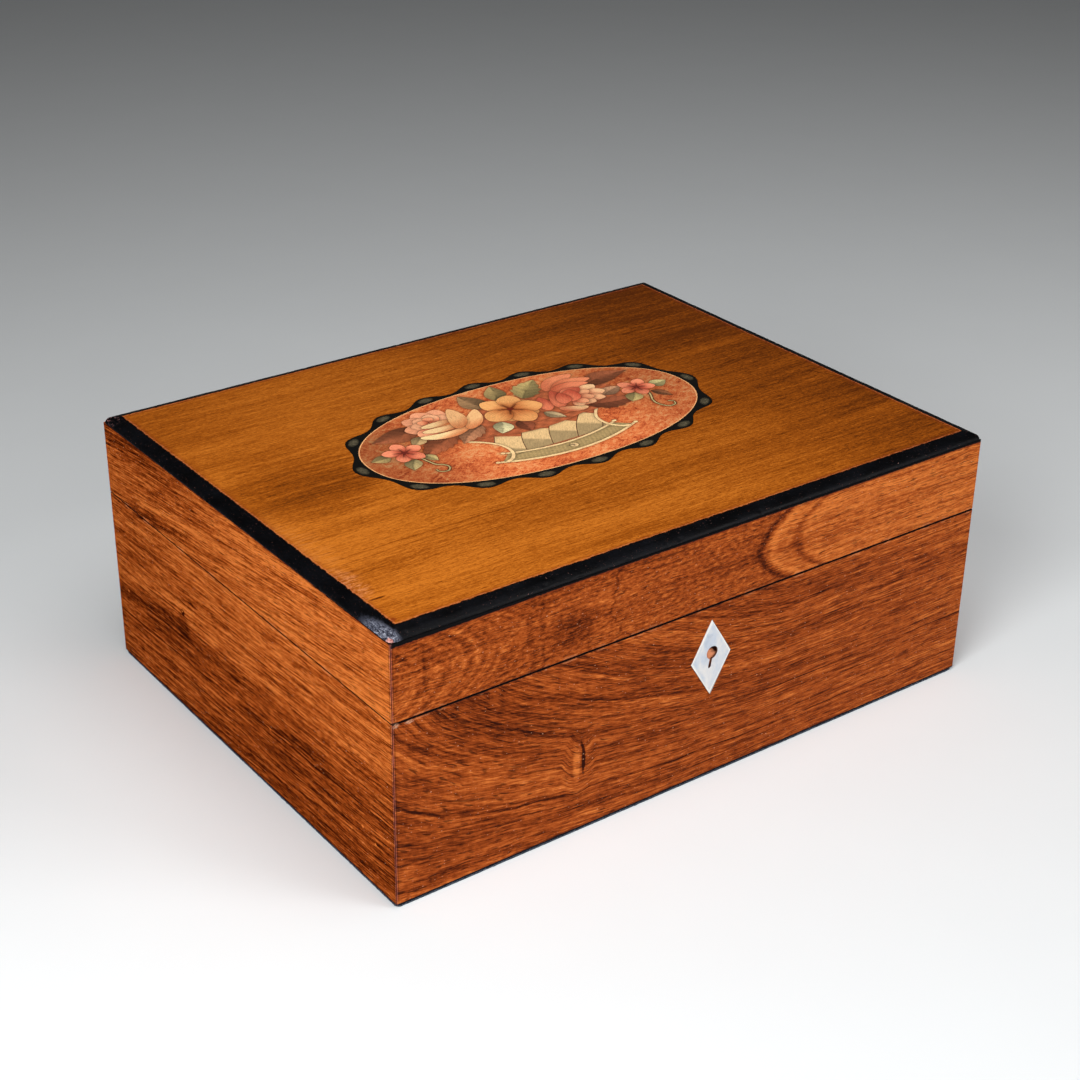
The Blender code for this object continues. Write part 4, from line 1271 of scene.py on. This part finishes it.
def make_inlay():
    """A flush plate of marquetry: its patches' outlines cut one flat sheet, and each face is one patch's."""
    inlay = design()
    corners = [Vector(point) for outline in inlay.outlines for point in outline]
    starts = np.cumsum([0] + [len(outline) for outline in inlay.outlines])
    faces = [list(range(a, b)) for a, b in zip(starts, starts[1:])]
    corners += [Vector(point) for point in fine_points(inlay)]
    flat, _, triangles, origins, _, patches = geometry.delaunay_2d_cdt(corners, [], faces, 1, 1e-4)
    owners = np.array([topmost(found, inlay.clips) for found in patches])
    pairs, index = np.unique(np.stack([np.array(triangles).ravel(), np.repeat(owners, 3)], axis=1), axis=0,
                             return_inverse=True)
    index = index.ravel()
    places = np.array([tuple(point) for point in flat])
    colors = painted(inlay, places[pairs[:, 0]], pairs[:, 1])[index]
    grains = grain_places(inlay, places[pairs[:, 0]], pairs[:, 1])[index]

    steps = len(inlay.outlines[0])
    found_at = {original: k for k, found in enumerate(origins) for original in found}
    rim = [found_at[k] for k in range(steps)]
    count = len(places)
    points = [(x, y + CENTRE_Y, TOP) for x, y in places]
    points += [(places[k][0], places[k][1] + CENTRE_Y, INLAY_LOW.z) for k in rim]
    walls = [(rim[k], count + k, count + (k + 1) % steps, rim[(k + 1) % steps]) for k in range(steps)]
    bottom = tuple(range(count + steps - 1, count - 1, -1))
    mesh = bpy.data.meshes.new("marquetry")
    mesh.from_pydata([Vector(point) * MM for point in points], [], list(triangles) + walls + [bottom])
    plain = 4 * steps + steps
    tint = mesh.color_attributes.new("tint", "FLOAT_COLOR", "CORNER")
    colors = np.concatenate([colors, np.tile((0.005, 0.005, 0.005, 0), (plain, 1))])
    tint.data.foreach_set("color", colors.ravel().astype(np.float32))
    grain_data = mesh.attributes.new("grain", "FLOAT_VECTOR", "CORNER")
    grains = np.concatenate([grains, np.zeros((plain, 3))])
    grain_data.data.foreach_set("vector", grains.ravel().astype(np.float32))
    mesh.update()
    hand_over(add_object("marquetry", mesh), "lid", "lid_inlay", "inlay", marquetry_material())


def marquetry_material():
    """Patches of dyed veneer, each with its own fine grain; a ground of mottled burr, and specked beads."""
    s = Surface("marquetry_veneers")
    x, y = s.x, s.y
    tint = s.attribute("tint", "Color")
    kind = s.attribute("tint", "Alpha")
    along, across, shift = s.split(s.attribute("grain", "Vector").socket)
    streaks = s.noise(along * 0.3, across * 1.9, shift, 4, 0.7)
    speckle = s.noise(x * 1.5, y * 1.5, 4, 3, 0.75)
    lift = streaks * 0.6 + speckle * 0.75
    light = s.ramp(lift + 0.5, (0.12, (0.40, 0.34, 0.30, 1)), (0.5, (1.08, 1.04, 0.98, 1)),
                   (0.88, (1.65, 1.55, 1.4, 1)))
    veneer = s.mixed(1, tint, light, "MULTIPLY")
    swirl = s.noise(x * 0.15, y * 0.15, 1, 3)
    eyes = s.noise(x * 0.32 + swirl * 5, y * 0.42 + swirl * 5, 2, 5, 0.72)
    veins = s.noise(x * 0.2 + swirl * 2, y * 0.26 - swirl * 2, 6, 4, 0.65).near(0, 0.035)
    mottle = eyes * 2.1 + s.noise(x * 0.05, y * 0.07, 3) + speckle * 1.1 - veins * 0.2
    patchy = s.ramp(mottle + 0.56, (0.05, (156, 60, 32)), (0.35, (220, 106, 58)), (0.6, (248, 138, 78)),
                    (0.95, (255, 186, 124)))
    ground = s.mixed(1, patchy, tint, "MULTIPLY")
    flecks = s.noise(x * 1.1, y * 1.1, 8, 4, 0.8)
    mottled = s.ramp(flecks * 1.8 + 0.5, (0.1, (0.25, 0.22, 0.2, 1)), (0.5, (0.9, 0.9, 0.9, 1)),
                     (0.9, (2.6, 2.5, 2.3, 1)))
    bead = s.mixed(1, tint, mottled, "MULTIPLY")
    s.color = s.mixed(kind.near(0.5, 0.3), s.mixed(kind.between(0.8, 1), veneer, ground), bead)
    return s.done(0.36 + streaks * 0.15, lift, 0.02, Specular_IOR_Level=0.12)


make_camera()
make_studio()
make_woods()
make_trim()
make_inlay()
